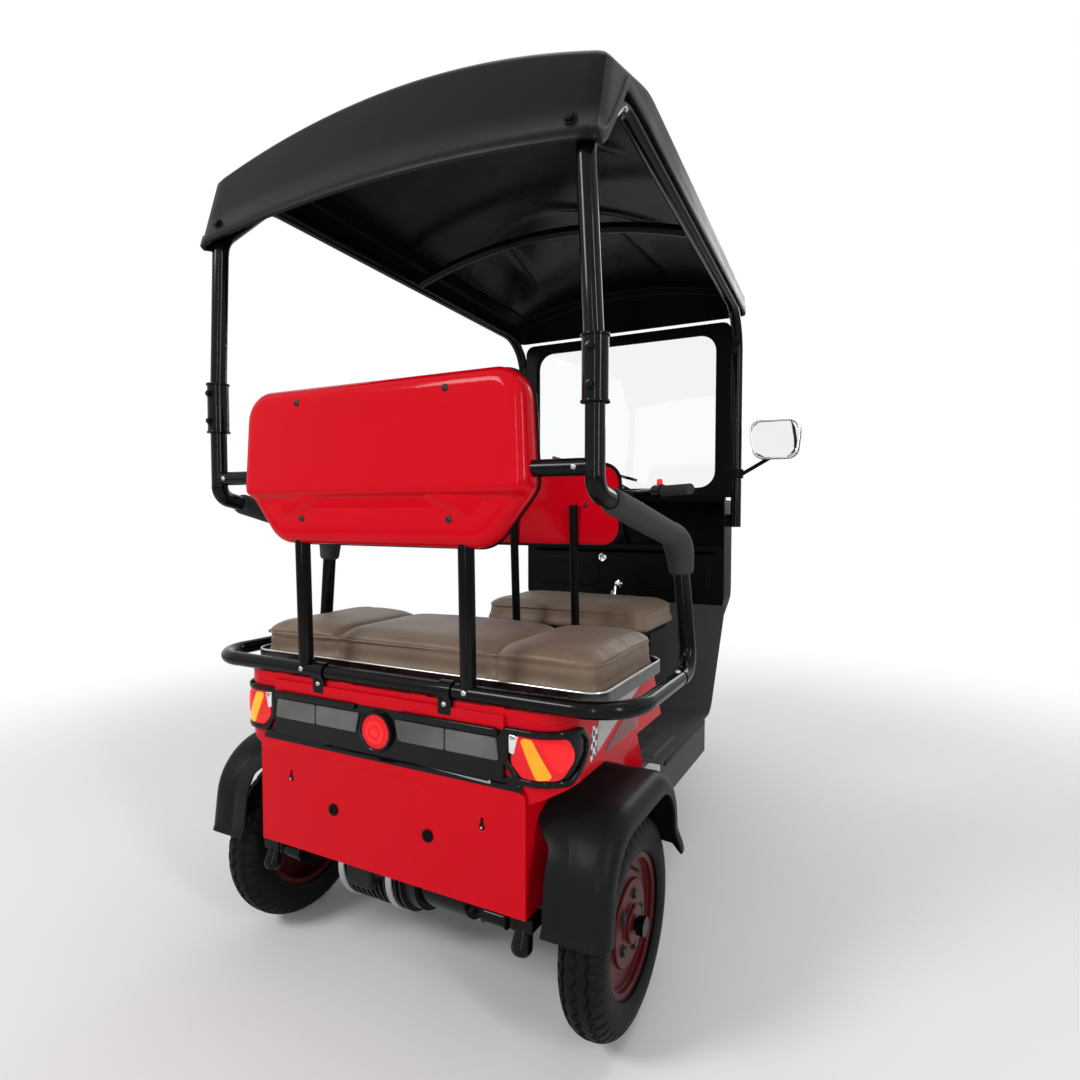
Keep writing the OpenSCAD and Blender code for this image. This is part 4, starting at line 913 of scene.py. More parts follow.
@dataclass
class Wheel:
    """Tyre with its tread, and the fittings on a rim's outer side."""

    body: Body
    tyre_node: str
    out_side: float = 1.0
    outer: float = 0.191
    section: float = 0.042
    squareness: float = 2.35
    bead: Pair = (0.0265, 0.1168)
    flange: Pair = (0.0312, 0.1252)
    steps: int = 528
    pitches: int = 44
    groove: float = 0.0048
    tread: float = math.radians(64)
    wall: float = 2.15
    ribs: tuple[Triple, ...] = ((0.0008, 1.45, 0.05), (0.0006, 1.62, 0.04))
    middle_groove: Triple = (0.07, 0.035, 0.075)
    side_groove: Four = (0.4, 0.06, 0.03, 0.07)
    slot: Four = (0.7, 0.12, 0.08, 0.17)
    slot_ends: Four = (0.44, 0.52, 1.0, 1.16)
    slot_depth: float = 0.9
    bolt_circle: float = 0.05
    bolt_face: float = 0.0272
    bolt_r: float = 0.0085
    bolts: int = 5
    valve: tuple[Pair, ...] = ((0.012, 0.108), (0.026, 0.104), (0.042, 0.1))
    valve_r: float = 0.003

    def build(self) -> None:
        """Makes the tyre and the rim's bolts and valve."""
        place = np.array(JOINTS[self.body.value + "_spin"]["pos_m"]) - SHIFT
        self.tyre(place).piece(self.tyre_node + "_tread", TYRE_RUBBER, self.tyre_node, body=self.body, sharp=60.0)
        self.fittings(place).piece(self.tyre_node + "_wheel_bolts", SPRING, body=self.body)

    def tyre(self, place: Array) -> Shape:
        """A closed section carried round the axle.

        The outer half is a superellipse in width and radius, joined by straight walls to the beads. The tread is
        sunk along the radius by zigzag grooves round the crown and by slots across the shoulders.

        Args:
            place: Middle of the wheel, counted from the rear axle.

        Returns:
            The tyre.
        """
        wall = np.linspace(self.tread, self.wall, 12)
        lean = np.concatenate([-wall[::-1], np.linspace(-self.tread, self.tread, 53)[1:-1], wall])
        width, height = (self.section * np.sign(part) * np.abs(part) ** (2.0 / self.squareness)
                         for part in (np.sin(lean), np.cos(lean)))
        radius = self.outer - self.section + height
        width = width + np.sign(lean) * sum(rise * ridge(np.abs(lean), at, wide) for rise, at, wide in self.ribs)
        ends = np.array([self.flange, self.bead])
        width = np.concatenate([-ends[::-1, 0], width, ends[:, 0]])
        radius = np.concatenate([ends[::-1, 1], radius, ends[:, 1]])
        lean = np.concatenate([[-3.0, -3.0], lean, [3.0, 3.0]])
        turn = full_turn(self.steps)
        reach = radius[:, None] - self.tread_depth(lean[:, None] / self.tread, turn[None, :])
        points = join(np.broadcast_to(width[:, None], reach.shape), reach * np.cos(turn), reach * np.sin(turn))
        return Shape().grid(points + place, wrap_rows=True, wrap_cols=True)

    def tread_depth(self, across: Array, turn: Array) -> Array:
        """Depth of the grooves at a place across the tread, from -1 to 1, and at a turn of the wheel."""
        phase = (turn * self.pitches / FULL) % 1.0
        zigzag = 4.0 * np.abs(phase - 0.5) - 1.0
        out = np.abs(across)
        swing, *edges = self.middle_groove
        middle = 1.0 - ease(np.abs(across - swing * zigzag), *edges)
        at, swing, *edges = self.side_groove
        sides = 1.0 - ease(np.abs(out - at - swing * zigzag), *edges)
        at, slant, *edges = self.slot
        slot = 1.0 - ease(np.abs(phase - 0.5 - slant * np.sign(across) * (out - at)), *edges)
        shoulder = slot * ease(out, *self.slot_ends[:2]) * (1.0 - ease(out, *self.slot_ends[2:]))
        return self.groove * np.maximum(np.maximum(middle, sides), shoulder * self.slot_depth)

    def fittings(self, place: Array) -> Shape:
        """Wheel bolts round the hub and the valve at the rim's edge."""
        shape, axis = Shape(), (self.out_side, 0.0, 0.0)
        for angle in full_turn(self.bolts):
            spoke = np.array([0.0, math.cos(angle), math.sin(angle)])
            shape.bolt(place + spoke * self.bolt_circle + np.array(axis) * self.bolt_face, axis, self.bolt_r)
        valve = resample([(self.out_side * x, 0.0, z) for x, z in self.valve], 6)
        return shape.tube(place + valve, self.valve_r, sides=10)


@dataclass
class Mudguards:
    """Rear mudguards: arched mouldings with a soft outer shoulder, a lip and beaded ends."""

    inner: float = 0.3125
    outer: float = 0.461
    end_z: float = 0.258
    top_z: float = 0.442
    half_length: float = 0.208
    lean: float = 0.024
    arch_r: float = 0.125
    shoulder: float = 0.03
    lip: float = 0.04
    skin: float = 0.004
    bead: float = 0.004
    bead_run: Pair = (0.004, 0.012)
    flare: float = 0.012
    flare_run: float = 0.05
    cut_back: float = 0.038
    cut_z: Pair = (0.384, 0.424)
    crease: tuple[Pair, ...] = ((0.05, 0.0), (0.056, 0.0018), (0.062, 0.0))

    def build(self) -> None:
        """Carries the section along the arch, cut back to the tyre below its top, and mirrors it."""
        foot, brow = self.half_length, self.half_length - self.lean
        arch = route([(-foot, self.end_z), (-brow, self.top_z), (brow, self.top_z), (foot, self.end_z)],
                     [self.arch_r, self.arch_r], 97)
        run = even_run(arch)
        from_end = np.minimum(run, run[-1] - run)
        swell = self.bead * (1.0 - ease(from_end, *self.bead_run))
        flare = self.flare * (1.0 - ease(from_end, 0.0, self.flare_run)) * (arch[:, 0] > 0)
        section = self.section()
        share = ease(section[:, 0], self.outer - self.flare_run, self.outer)
        flat = self.outer - self.shoulder
        inset = self.cut_back * (1.0 - ease(arch[:, 1], *self.cut_z))
        inner_share = np.clip((flat - section[:, 0]) / (flat - self.inner), 0.0, 1.0)
        x = section[None, :, 0] + flare[:, None] * share[None, :] + inset[:, None] * inner_share[None, :]
        drop = section[None, :, 1] - swell[:, None] * (section[None, :, 1] < self.skin / 2)
        plane = arch[:, None, :] - left_of(heading(arch))[:, None, :] * drop[..., None]
        shape = Shape().grid(np.concatenate([x[..., None], plane], axis=-1), wrap_cols=True, caps=True)
        shape.mirrored().piece("mudguard_mouldings", GUARD_BLACK, "rear_mudguards", sharp=50.0)

    def section(self) -> Array:
        """Closed section across the guard: place along X and distance in from the arch."""
        turn = np.linspace(0.0, QUARTER, 10)
        arc = join(np.sin(turn), -np.cos(turn))
        bend = np.array([self.outer - self.shoulder, self.shoulder])
        over, under = (bend + r * arc for r in (self.shoulder, self.shoulder - self.skin))
        crease = [(self.inner + x, depth) for x, depth in self.crease]
        return np.vstack([[(self.inner, 0.0)], crease, over, [(self.outer, self.lip)],
                          [(self.outer - self.skin, self.lip)], under[::-1], [(self.inner, self.skin)]])


@dataclass
class Roof:
    """Arched roof moulding with a rounded edge, a leaning rear skirt and ribs pressed into its underside."""

    back: float = -0.216
    front: float = 1.0733
    back_half: float = 0.445
    front_half: float = 0.405
    corner: float = 0.017
    peak_y: float = 0.04
    peak_z: float = 1.769
    fall: float = math.tan(math.radians(5.2))
    rise: float = math.tan(math.radians(13.0))
    arch_r: float = 1.308
    soften: float = 0.006
    lean: float = 0.086
    lean_height: float = 0.298
    lean_front: float = 0.1
    edge: float = 0.012
    skin: float = 0.004
    lining: Pair = (0.0016, 0.0002)
    lining_inset: float = 0.05
    skirt_z: float = 1.481
    skirt_arch: float = 0.038
    sweep: Pair = (-0.186, -0.11)
    side_z: float = 1.62
    side_fall: float = 0.062
    strip: float = 0.026
    strip_out: float = 0.003
    strip_edge: float = 0.002
    rib: float = 0.005
    rib_starts: Pair = (0.1, 0.45)
    rib_width: float = 0.016
    rib_fade: Pair = (0.26, 0.34)
    fan_width: float = 0.013
    fan_fade: Four = (0.5, 0.6, 0.8, 0.95)
    bolt: Triple = (0.398, 1.527, 0.008)
    columns: int = 256
    rows: int = 30

    def build(self) -> None:
        """Makes the moulding, its lining and the bolts near the skirt's corners."""
        loop = self.plan(0.0)
        outer, inner = self.cover(loop, 0.0), self.cover(loop, self.skin)
        low, brow, out = self.skirt_low(loop), outer[-1, :, 2], -self.strip_out
        skirt = [self.level(loop, 0.0, brow + (low + self.strip - brow) * share) for share in (0.35, 0.7, 1.0)]
        skirt += [self.level(loop, out, low + self.strip + out), self.level(loop, out, low + self.strip_edge),
                  self.level(loop, out / 2, low)]
        hidden = [self.level(loop, self.skin, low + (inner[-1, :, 2] - low) * share) for share in (0.0, 0.5)]
        self.leaning(outer, skirt, hidden, inner[::-1]).piece("roof_moulding", ROOF_BLACK, "roof_shell", sharp=50.0)
        inside = self.plan(self.lining_inset)
        lower, upper = (self.cover(inside, self.skin + depth) for depth in self.lining)
        self.leaning(lower, upper[::-1]).piece("roof_lining", LINING, sharp=50.0)
        x, z, radius = self.bolt
        y = self.back + self.lean * (z - self.skirt_z) / self.lean_height - 0.0005
        bolts = Shape()
        for side in SIDES:
            bolts.bolt((side * x, y, z), (0.0, -1.0, 0.25), radius)
        bolts.piece("roof_bolts", BLACK_TUBE)

    def plan(self, inset: float) -> Array:
        """Outline of the roof seen from above, moved in from its edges."""
        back, front = self.back + inset, self.front - inset
        return outline(two_sided((self.back_half - inset, back), (self.front_half - inset, front)), self.corner,
                       self.columns)

    def top(self, plan: Array) -> Array:
        """Height of the roof over a place: the softened lower one of two tilted arches."""
        drop = self.arch_r - np.sqrt(self.arch_r ** 2 - plan[..., 0] ** 2)
        run = plan[..., 1] - self.peak_y
        lower = np.logaddexp(run * self.fall / self.soften, -run * self.rise / self.soften)
        return self.peak_z - drop - self.soften * lower

    def cover(self, loop: Array, skin: float) -> Array:
        """Rows of the top from its middle to its edge, and over the rounded edge to the vertical.

        Args:
            loop: The roof's plan.
            skin: Depth below the outer surface.

        Returns:
            Rows of points.
        """
        inside = inset_by(loop, self.edge)
        middle = inside.mean(axis=0)
        flat = middle + np.linspace(0.0, 1.0, self.rows)[:, None, None] * (inside - middle)
        turn = np.linspace(0.0, QUARTER, 10)[1:]
        border = np.stack([inset_by(loop, self.edge - (self.edge - skin) * math.sin(a)) for a in turn])
        plan = np.concatenate([flat, border])
        sink = np.concatenate([np.zeros(len(flat)), (self.edge - skin) * (1 - np.cos(turn))])
        height = self.top(plan) - skin - sink[:, None]
        if skin:
            height = height - self.ribs(plan)
        return np.concatenate([plan, height[..., None]], axis=-1)

    def ribs(self, plan: Array) -> Array:
        """Depth of the pressed ribs: swept pairs that run outwards and back, fading near the edges."""
        x, y = np.abs(plan[..., 0]), plan[..., 1]
        swept = sum(ridge(y, start + 0.9 * x ** 1.5, self.rib_width) for start in self.rib_starts)
        fan = ridge(x, 0.1 + 0.12 * np.clip(y, 0.0, 1.0), self.fan_width)
        fan = fan * ease(y, *self.fan_fade[:2]) * (1.0 - ease(y, *self.fan_fade[2:]))
        return self.rib * np.maximum(swept * (1.0 - ease(x, *self.rib_fade)), fan)

    def skirt_low(self, loop: Array) -> Array:
        """Lower edge of the skirt: arched across the rear, swept up at the corners, falling along the sides."""
        x, y = loop[:, 0], loop[:, 1]
        rear = self.skirt_z + self.skirt_arch * (1.0 - (x / self.back_half) ** 2)
        start, end = self.sweep
        lift = np.clip((y - start) / (end - start), 0.0, 1.0)
        side = self.skirt_z + (self.side_z - self.skirt_z) * lift - self.side_fall * np.maximum(y, 0.0)
        return np.where(y < start, rear, side)

    @staticmethod
    def level(loop: Array, inset: float, height: Array) -> Array:
        """Row of the skirt at a height."""
        return np.concatenate([inset_by(loop, inset), height[:, None]], axis=-1)

    def leaning(self, *rows: Sequence[Array] | Array) -> Shape:
        """Shell of rows, shifted forwards to lean the rear skirt, fading towards the middle of the roof."""
        points = np.concatenate(rows)
        share = np.clip((self.lean_front - points[..., 1]) / (self.lean_front - self.back), 0.0, 1.0)
        points[..., 1] += self.lean * np.clip((points[..., 2] - self.skirt_z) / self.lean_height, 0.0, None) * share
        return Shape().grid(points, wrap_cols=True)


@dataclass
class BackShell:
    """Red backrest shell: a dished moulding with soft edges, a ledge across its back and a dark edge strip."""

    name: str
    node: str
    half_outline: tuple[Pair, ...]
    radii: tuple[float, ...]
    back: float
    depth: float
    screws: tuple[Pair, ...]
    edge: float = 0.026
    skin: float = 0.004
    ledge_z: float = 0.0
    ledge: float = 0.0
    ledge_width: float = 0.016
    slope: float = 0.03
    strip_inset: float = 0.0015
    strip_r: float = 0.0045
    screw_r: float = 0.0065
    columns: int = 320
    rows: int = 43

    def build(self) -> None:
        """Makes the shell, its edge strip and its screws."""
        loop = outline(two_sided(*self.half_outline), [*self.radii, *reversed(self.radii)], self.columns)
        e, t, d = self.edge, self.skin, self.depth
        share = np.linspace(0.0, 1.0, self.rows + 1)[:-1]
        face = join(np.full(self.rows, e), share, np.zeros(self.rows))
        turn = np.linspace(0.0, QUARTER, 9)
        over, under = (join(e - r * np.sin(turn), np.ones(9), e - r * np.cos(turn)) for r in (e, e - t))
        rim = np.array([(0.0, 1.0, d - 0.002), (self.strip_inset, 1.0, d), (t, 1.0, d)])
        levels = np.vstack([face, over, rim, under[::-1], [[e, 0.5, t], [e, 0.0, t]]])
        Shape().patch(loop, levels, self.place).piece(self.name, RED, self.node, sharp=50.0)
        strip = upright(inset_by(loop, self.strip_inset), self.back + d - 0.004)
        Shape().tube(strip, self.strip_r, sides=8, closed=True).piece(self.name + "_edge_strip", TRIM_BLACK)
        screws = Shape()
        for x, z in self.screws:
            for side in SIDES:
                screws.screw(self.place(np.array(side * x), np.array(z), np.array(0.0)), REAR, self.screw_r)
        screws.piece(self.name + "_screws", SPRING)

    def place(self, a: Array, b: Array, h: Array) -> Array:
        """Point at a place across and up the back, its depth counted forwards from the leaning back face."""
        fall = self.slope * np.clip(b - self.ledge_z, 0.0, None)
        step = self.ledge * (1.0 - ease(b, self.ledge_z - self.ledge_width, self.ledge_z))
        fade = np.clip(1.0 - h / self.depth, 0.0, 1.0)
        return join(a, self.back + h + (step + fall) * fade, b)


class Rest(Enum):
    """The face that a cushion rests on, as the axis square to it."""

    BELOW = 2
    BEHIND = 1


@dataclass
class Cushion:
    """Sewn cushion: a block swollen by a cloth simulation, with its seams and channels drawn in afterwards."""

    name: str
    node: str
    rest: Rest
    channels: tuple[float, ...] = ()
    shrink: float = 0.006
    voxel: float = 0.0068
    cap: float = 0.010
    crown: float = 0.004
    seam: float = 0.024
    seam_depth: float = 0.0034
    roll: float = 0.0012
    fill: float = 0.85
    welt: float = 0.0021
    mass: float = 0.2
    stretch: float = 8.0
    bending: float = 0.4
    pressure: float = 4.0
    frames: int = 20
    obj: Object | None = None

    def prepare(self) -> None:
        """Copies the solid, draws it in a little, remeshes it evenly and softens its edges."""
        mesh = frame["nodes"][self.node].data.copy()
        clean_mesh(mesh, 1e-5)
        low, high = (np.array(corner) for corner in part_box(self.node))
        points = read_points(mesh)
        points = (low + high) / 2 + (points - (low + high) / 2) * (1 - 2 * self.shrink / (high - low))
        points[:, self.rest.value] -= self.shrink - 0.0005
        mesh.vertices.foreach_set("co", points.ravel())
        obj = new_object(self.name, mesh)
        even = obj.modifiers.new("even", "REMESH")
        even.mode, even.voxel_size = "VOXEL", self.voxel
        soft = obj.modifiers.new("soft", "SMOOTH")
        soft.factor, soft.iterations = 0.5, 9
        obj.data = bpy.data.meshes.new_from_object(obj.evaluated_get(bpy.context.evaluated_depsgraph_get()))
        obj.modifiers.clear()
        self.obj = obj

    def add_cloth(self) -> None:
        """Gives the cushion its cover: cloth under an even pressure, with no gravity."""
        cloth = self.obj.modifiers.new("cover", "CLOTH")
        cover = cloth.settings
        cover.quality, cover.mass = 4, self.mass
        cover.tension_stiffness = cover.compression_stiffness = self.stretch
        cover.bending_stiffness = self.bending
        cover.use_pressure, cover.uniform_pressure_force = True, self.pressure
        cover.effector_weights.gravity = 0.0
        cloth.collision_settings.use_collision = False
        cloth.point_cache.frame_start, cloth.point_cache.frame_end = 1, self.frames

    def settle(self) -> None:
        """Takes the swollen form into the mesh, each move capped and none at the face that rests."""
        start = read_points(self.obj.data)
        swollen = self.obj.evaluated_get(bpy.context.evaluated_depsgraph_get()).to_mesh()
        move = read_points(swollen) - start
        self.obj.modifiers.clear()
        size = np.linalg.norm(move, axis=1, keepdims=True)
        move *= np.minimum(1.0, self.cap / np.maximum(size, 1e-9))
        height = start[:, self.rest.value]
        move *= ease(height, height.min() + 0.004, height.min() + 0.03)[:, None]
        self.obj.data.vertices.foreach_set("co", (start + move).ravel())
        self.obj.data.update()

    def sew(self) -> None:
        """Draws in the channels and the seam round the edge, and crowns the sections between them."""
        mesh, axis = self.obj.data, self.rest.value
        points, normals = read_points(mesh), np.empty(len(mesh.vertices) * 3)
        mesh.vertex_normals.foreach_get("vector", normals)
        normals = normals.reshape(-1, 3)
        height, x = points[:, axis], points[:, 0]
        line = height.max() - self.seam
        upper = ease(height, height.min() + 0.01, height.min() + 0.035)
        facing = np.clip(normals[:, axis], 0.0, 1.0)
        bounds = np.array([x.min(), *self.channels, x.max()])
        section = np.clip(np.searchsorted(bounds, x) - 1, 0, len(bounds) - 2)
        start, end = bounds[section], bounds[section + 1]
        rise = self.crown * facing * (1.0 - ((x - (start + end) / 2) / ((end - start) / 2)) ** 2)
        for at in self.channels:
            rise = rise - upper * (0.008 * ridge(x, at, 0.007) + 0.004 * ridge(x, at, 0.022))
        side = (1.0 - facing) * upper
        rise = rise - self.seam_depth * side * ridge(height, line, 0.0036)
        rise = rise + self.roll * side * ridge(height, line + 0.008, 0.004)
        mesh.vertices.foreach_set("co", (points + normals * rise[:, None]).ravel())
        mesh.polygons.foreach_set("use_smooth", np.ones(len(mesh.polygons), dtype=bool))
        mesh.update()
        fine = self.obj.modifiers.new("fine", "SUBSURF")
        fine.levels = fine.render_levels = 1
        dress(self.obj, Body.CHASSIS, VINYL, [self.node])
        self.add_welt()

    def add_welt(self, count: int = 240) -> None:
        """Sews a thin welt on the seam, through the outermost points near its height in each direction.

        Args:
            count: Directions from the middle of the cushion.
        """
        points, axis = read_points(self.obj.data), self.rest.value
        across = [0, 3 - axis]
        at = points[:, axis].max() - self.seam
        plane = points[np.abs(points[:, axis] - at) < self.voxel][:, across]
        middle = (plane.min(axis=0) + plane.max(axis=0)) / 2
        out = plane - middle
        sector = (np.arctan2(out[:, 1], out[:, 0]) / FULL * count).astype(int) % count
        reach = np.zeros(count)
        np.maximum.at(reach, sector, np.hypot(out[:, 0], out[:, 1]))
        known = np.flatnonzero(reach)
        reach = np.interp(np.arange(count), known, reach[known], period=count)
        reach = sum(np.roll(reach, step) for step in (-1, 0, 1)) / 3
        turn = (np.arange(count) + 0.5) / count * FULL
        path = np.full((count, 3), at)
        path[:, across] = closed_resample(middle + reach[:, None] * join(np.cos(turn), np.sin(turn)), count)
        Shape().tube(path - SHIFT, self.welt, sides=8, closed=True).piece(self.name + "_welt", VINYL)


@dataclass
class Upholstery:
    """All the sewn cushions, swollen in one run of the simulation."""

    channel: float = 0.193
    back_channel: float = 0.11

    def build(self) -> None:
        """Prepares, swells, settles and sews each cushion."""
        cushions = [
            Cushion("bench_upholstery", "bench_cushion", Rest.BELOW, (-self.channel, self.channel)),
            Cushion("driver_seat_upholstery", "driver_cushion", Rest.BELOW, seam=0.022),
            Cushion("rear_backrest_upholstery", "backrest_cushion", Rest.BEHIND,
                    (-self.back_channel, self.back_channel), seam=0.016),
            Cushion("driver_backrest_upholstery", "driver_backrest_cushion", Rest.BEHIND, seam=0.014),
        ]
        for cushion in cushions:
            cushion.prepare()
        for cushion in cushions:
            cushion.add_cloth()
        for number in range(1, Cushion.frames + 1):
            bpy.context.scene.frame_set(number)
        for cushion in cushions:
            cushion.settle()
        bpy.context.scene.frame_set(1)
        for cushion in cushions:
            cushion.sew()


@dataclass
class ArmrestSleeves:
    """Foam sleeves on the armrest tubes, fuller over the front corner, with soft ends."""

    rail: Triple = (0.485, 0.163, 0.626)
    corner: Triple = (0.462, 0.163, 0.885)
    post: Triple = (0.432, -0.184, 0.970)
    bend: float = 0.048
    back_share: float = 0.85
    front_share: float = 0.27
    radius: float = 0.0235
    hole: float = 0.0168
    swell: float = 0.005
    slack: float = 0.0015
    soft_end: float = 0.03
    fill: float = 0.9

    def build(self) -> None:
        """Carries the foam along the tube and mirrors it."""
        rail, corner, post = (np.array(p) for p in (self.rail, self.corner, self.post))
        path = route([corner + (post - corner) * self.back_share, corner, corner + (rail - corner) * self.front_share],
                     [self.bend], 120)
        run = np.linspace(0.0, 1.0, len(path))
        fullness = self.swell * ridge(run, 0.84, 0.1) - self.slack * (1.0 - ease(run, 0.0, 0.3))
        from_end = np.minimum(1.0, np.minimum(run, 1.0 - run) / self.soft_end)
        ends = np.sqrt(np.clip(1.0 - (1.0 - from_end) ** 2, 0.0, 1.0))
        radius = self.hole + (self.radius + fullness - self.hole) * ends
        shape = Shape().tube(path, radius, sides=32).mirrored()
        shape.piece("armrest_foam", FOAM, "armrest_pads", sharp=60.0)


@dataclass
class RearLamps:
    """Tail lamps wrapped round the body's corners, the round middle lamp, and the panel's trim."""

    panel_y: float = -0.189
    body_y: float = -0.181
    body_x: float = 0.380
    corner_r: float = 0.062
    inner_x: float = 0.268
    front_y: float = -0.088
    low: float = 0.4895
    high: float = 0.5815
    lens_edge: float = 0.0015
    lens_back: float = 0.002
    lens_crown: float = 0.0012
    lamp_z: float = 0.534
    lamp_r: float = 0.038
    ledge_z: float = 0.5725
    strip_z: Pair = (0.5245, 0.5625)
    band_z: Pair = (0.4765, 0.4975)
    cap_z: Pair = (0.452, 0.4772)
    step_z: float = 0.4775
    step_height: float = 0.007
    skin: float = 0.001

    def build(self) -> None:
        """Makes the lamps and the trim."""
        self.measure_wrap()
        low, high = self.low, self.high
        middle, half = (low + high) / 2, (high - low) / 2
        rim = outline([(0.0, middle - 0.25 * half), (0.026, low), (0.118, low), (0.168, middle - 0.1 * half),
                       (0.168, middle + 0.5 * half), (0.142, high), (0.0, high)],
                      [0.012, 0.02, 0.02, 0.02, 0.012, 0.012, 0.006], 160)
        bezel = Shape().patch(rim, frame_levels(0.0086, 0.011, 0.003), self.wrap, ring=True)
        bezel.patch(inset_by(rim, 0.009), dome(0.0034, 0.001), self.wrap)
        bezel.mirrored().piece("tail_lamp_housings", BLACK_GLOSS, "tail_lamps")
        lenses = (
            ("tail_lamp_lenses", RED_LENS, 0.0062, 96,
             [(0.016, middle - 0.3 * half), (0.036, low + 0.011), (0.1, low + 0.011), (0.128, middle),
              (0.112, high - 0.013), (0.018, high - 0.011)], [0.008, 0.016, 0.022, 0.024, 0.016, 0.008]),
            ("tail_lamp_amber_bars", AMBER_LENS, 0.0082, 64,
             [(0.062, low + 0.012), (0.088, low + 0.015), (0.055, high - 0.014), (0.032, high - 0.014)], 0.006),
            ("tail_lamp_stop_lenses", BRIGHT_RED_LENS, 0.0084, 64,
             [(0.092, low + 0.02), (0.122, middle - 0.006), (0.118, middle + 0.014), (0.098, high - 0.02),
              (0.068, high - 0.016)], [0.012, 0.02, 0.014, 0.014, 0.006]),
            ("tail_lamp_bright_edges", CHROME, 0.0078, 48,
             [(0.0125, middle + 0.1 * half), (0.022, middle + 0.05 * half), (0.03, high - 0.012),
              (0.012, high - 0.01)], 0.003),
        )
        for name, finish, height, count, corners, radii in lenses:
            levels = dome(height, self.lens_edge, back=self.lens_back, crown=self.lens_crown)
            Shape().patch(outline(corners, radii, count), levels, self.wrap).mirrored().piece(name, finish)
        self.middle_lamp()
        self.trim()

    def measure_wrap(self) -> None:
        """Measures the curve that the right lamp follows round the body's corner, seen from above."""
        self.path = route([(self.inner_x, self.body_y), (self.body_x, self.body_y), (self.body_x, self.front_y)],
                          [self.corner_r], 240, steps=60)
        self.out, self.run = -left_of(heading(self.path)), even_run(self.path)

    def wrap(self, a: Array, b: Array, h: Array) -> Array:
        """Point at a run along the corner's curve, at a height, and standing out square to the body."""
        parts = [np.interp(a, self.run, self.path[:, k]) + (h + 0.0004) * np.interp(a, self.run, self.out[:, k])
                 for k in (0, 1)]
        return join(*parts, b)

    def middle_lamp(self) -> None:
        """Makes the round lamp: a black ring, a stepped red lens and bright rings on it."""
        centre, r = (0.0, self.panel_y, self.lamp_z), self.lamp_r
        ring = [(r * 0.8, 0.0), (r, 0.0), (r, 0.006), (r * 0.97, 0.0085), (r * 0.9, 0.0092), (r * 0.85, 0.008),
                (r * 0.8, 0.004)]
        Shape().lathe(ring, centre, REAR, 72, closed=True).piece("middle_lamp_ring", BLACK_GLOSS, "centre_lamp")
        share = np.linspace(1.0, 0.0, 28)
        steps = 0.0006 * np.abs((share * 7) % 1.0 - 0.5)
        lens = join(r * 0.83 * share, 0.0068 + 0.003 * (1 - share ** 2) - steps)
        lens = np.vstack([[(r * 0.83, 0.0)], lens[:-1]])
        Shape().lathe(lens, centre, REAR, 72).piece("middle_lamp_lens", RED_LENS, sharp=60.0)
        glow = [(r * 0.56, 0.004), (r * 0.56, 0.0092), (r * 0.52, 0.0098), (r * 0.44, 0.0099), (r * 0.4, 0.0094),
                (r * 0.4, 0.004)]
        core = [(r * 0.2, 0.004), (r * 0.2, 0.0098), (r * 0.16, 0.0106), (r * 0.06, 0.0108)]
        rings = Shape().lathe(glow, centre, REAR, 60, closed=True).lathe(core, centre, REAR, 32)
        rings.piece("middle_lamp_rings", BRIGHT_RED_LENS)

    def trim(self) -> None:
        """Makes the gloss ledges over the smoky reflectors, the reflectors and the band along the panel's step."""
        face = rearward(self.panel_y)
        ledges = Shape().patch(box_outline(0.105, 0.0065, 0.003, (0.157, self.ledge_z)), dome(0.007, 0.003), face)
        ledges.mirrored().piece("lamp_panel_ledges", BLACK_GLOSS)
        strips = Shape()
        low, high = self.strip_z
        for corners in ([(0.051, low), (0.152, low), (0.152, high), (0.043, high)],
                        [(0.155, low), (0.262, low), (0.257, high), (0.155, high)]):
            strips.patch(outline(corners, 0.003, 80), dome(0.0045, 0.0012), face)
        strips.mirrored().piece("smoky_reflectors", PALE_LENS, "reflector_strips")
        low, high = self.band_z
        band = outline([(-0.309, low), (0.309, low), (0.296, high), (-0.296, high)], 0.003, 120)
        levels = dome(0.0018, 0.0006, back=-0.0002, rings=26)
        Shape().patch(band, levels, self.lower_face).piece("lamp_panel_band", BLACK_GLOSS)
        low, high = self.cap_z
        cap = outline([(-0.313, low), (0.313, low), (0.309, high), (-0.309, high)], 0.002, 80)
        levels = dome(0.0006, 0.0003, back=-0.004)
        Shape().patch(cap, levels, rearward(self.panel_y + self.skin)).piece("panel_top_edge", RED)

    def lower_face(self, a: Array, b: Array, h: Array) -> Array:
        """Point on the rear face, which steps forward from the lower panel to the lamps' recess."""
        step = np.clip((b - self.step_z) / self.step_height, 0.0, 1.0)
        face = self.panel_y + self.skin
        return join(a, face + (self.body_y - face) * step - h, b)


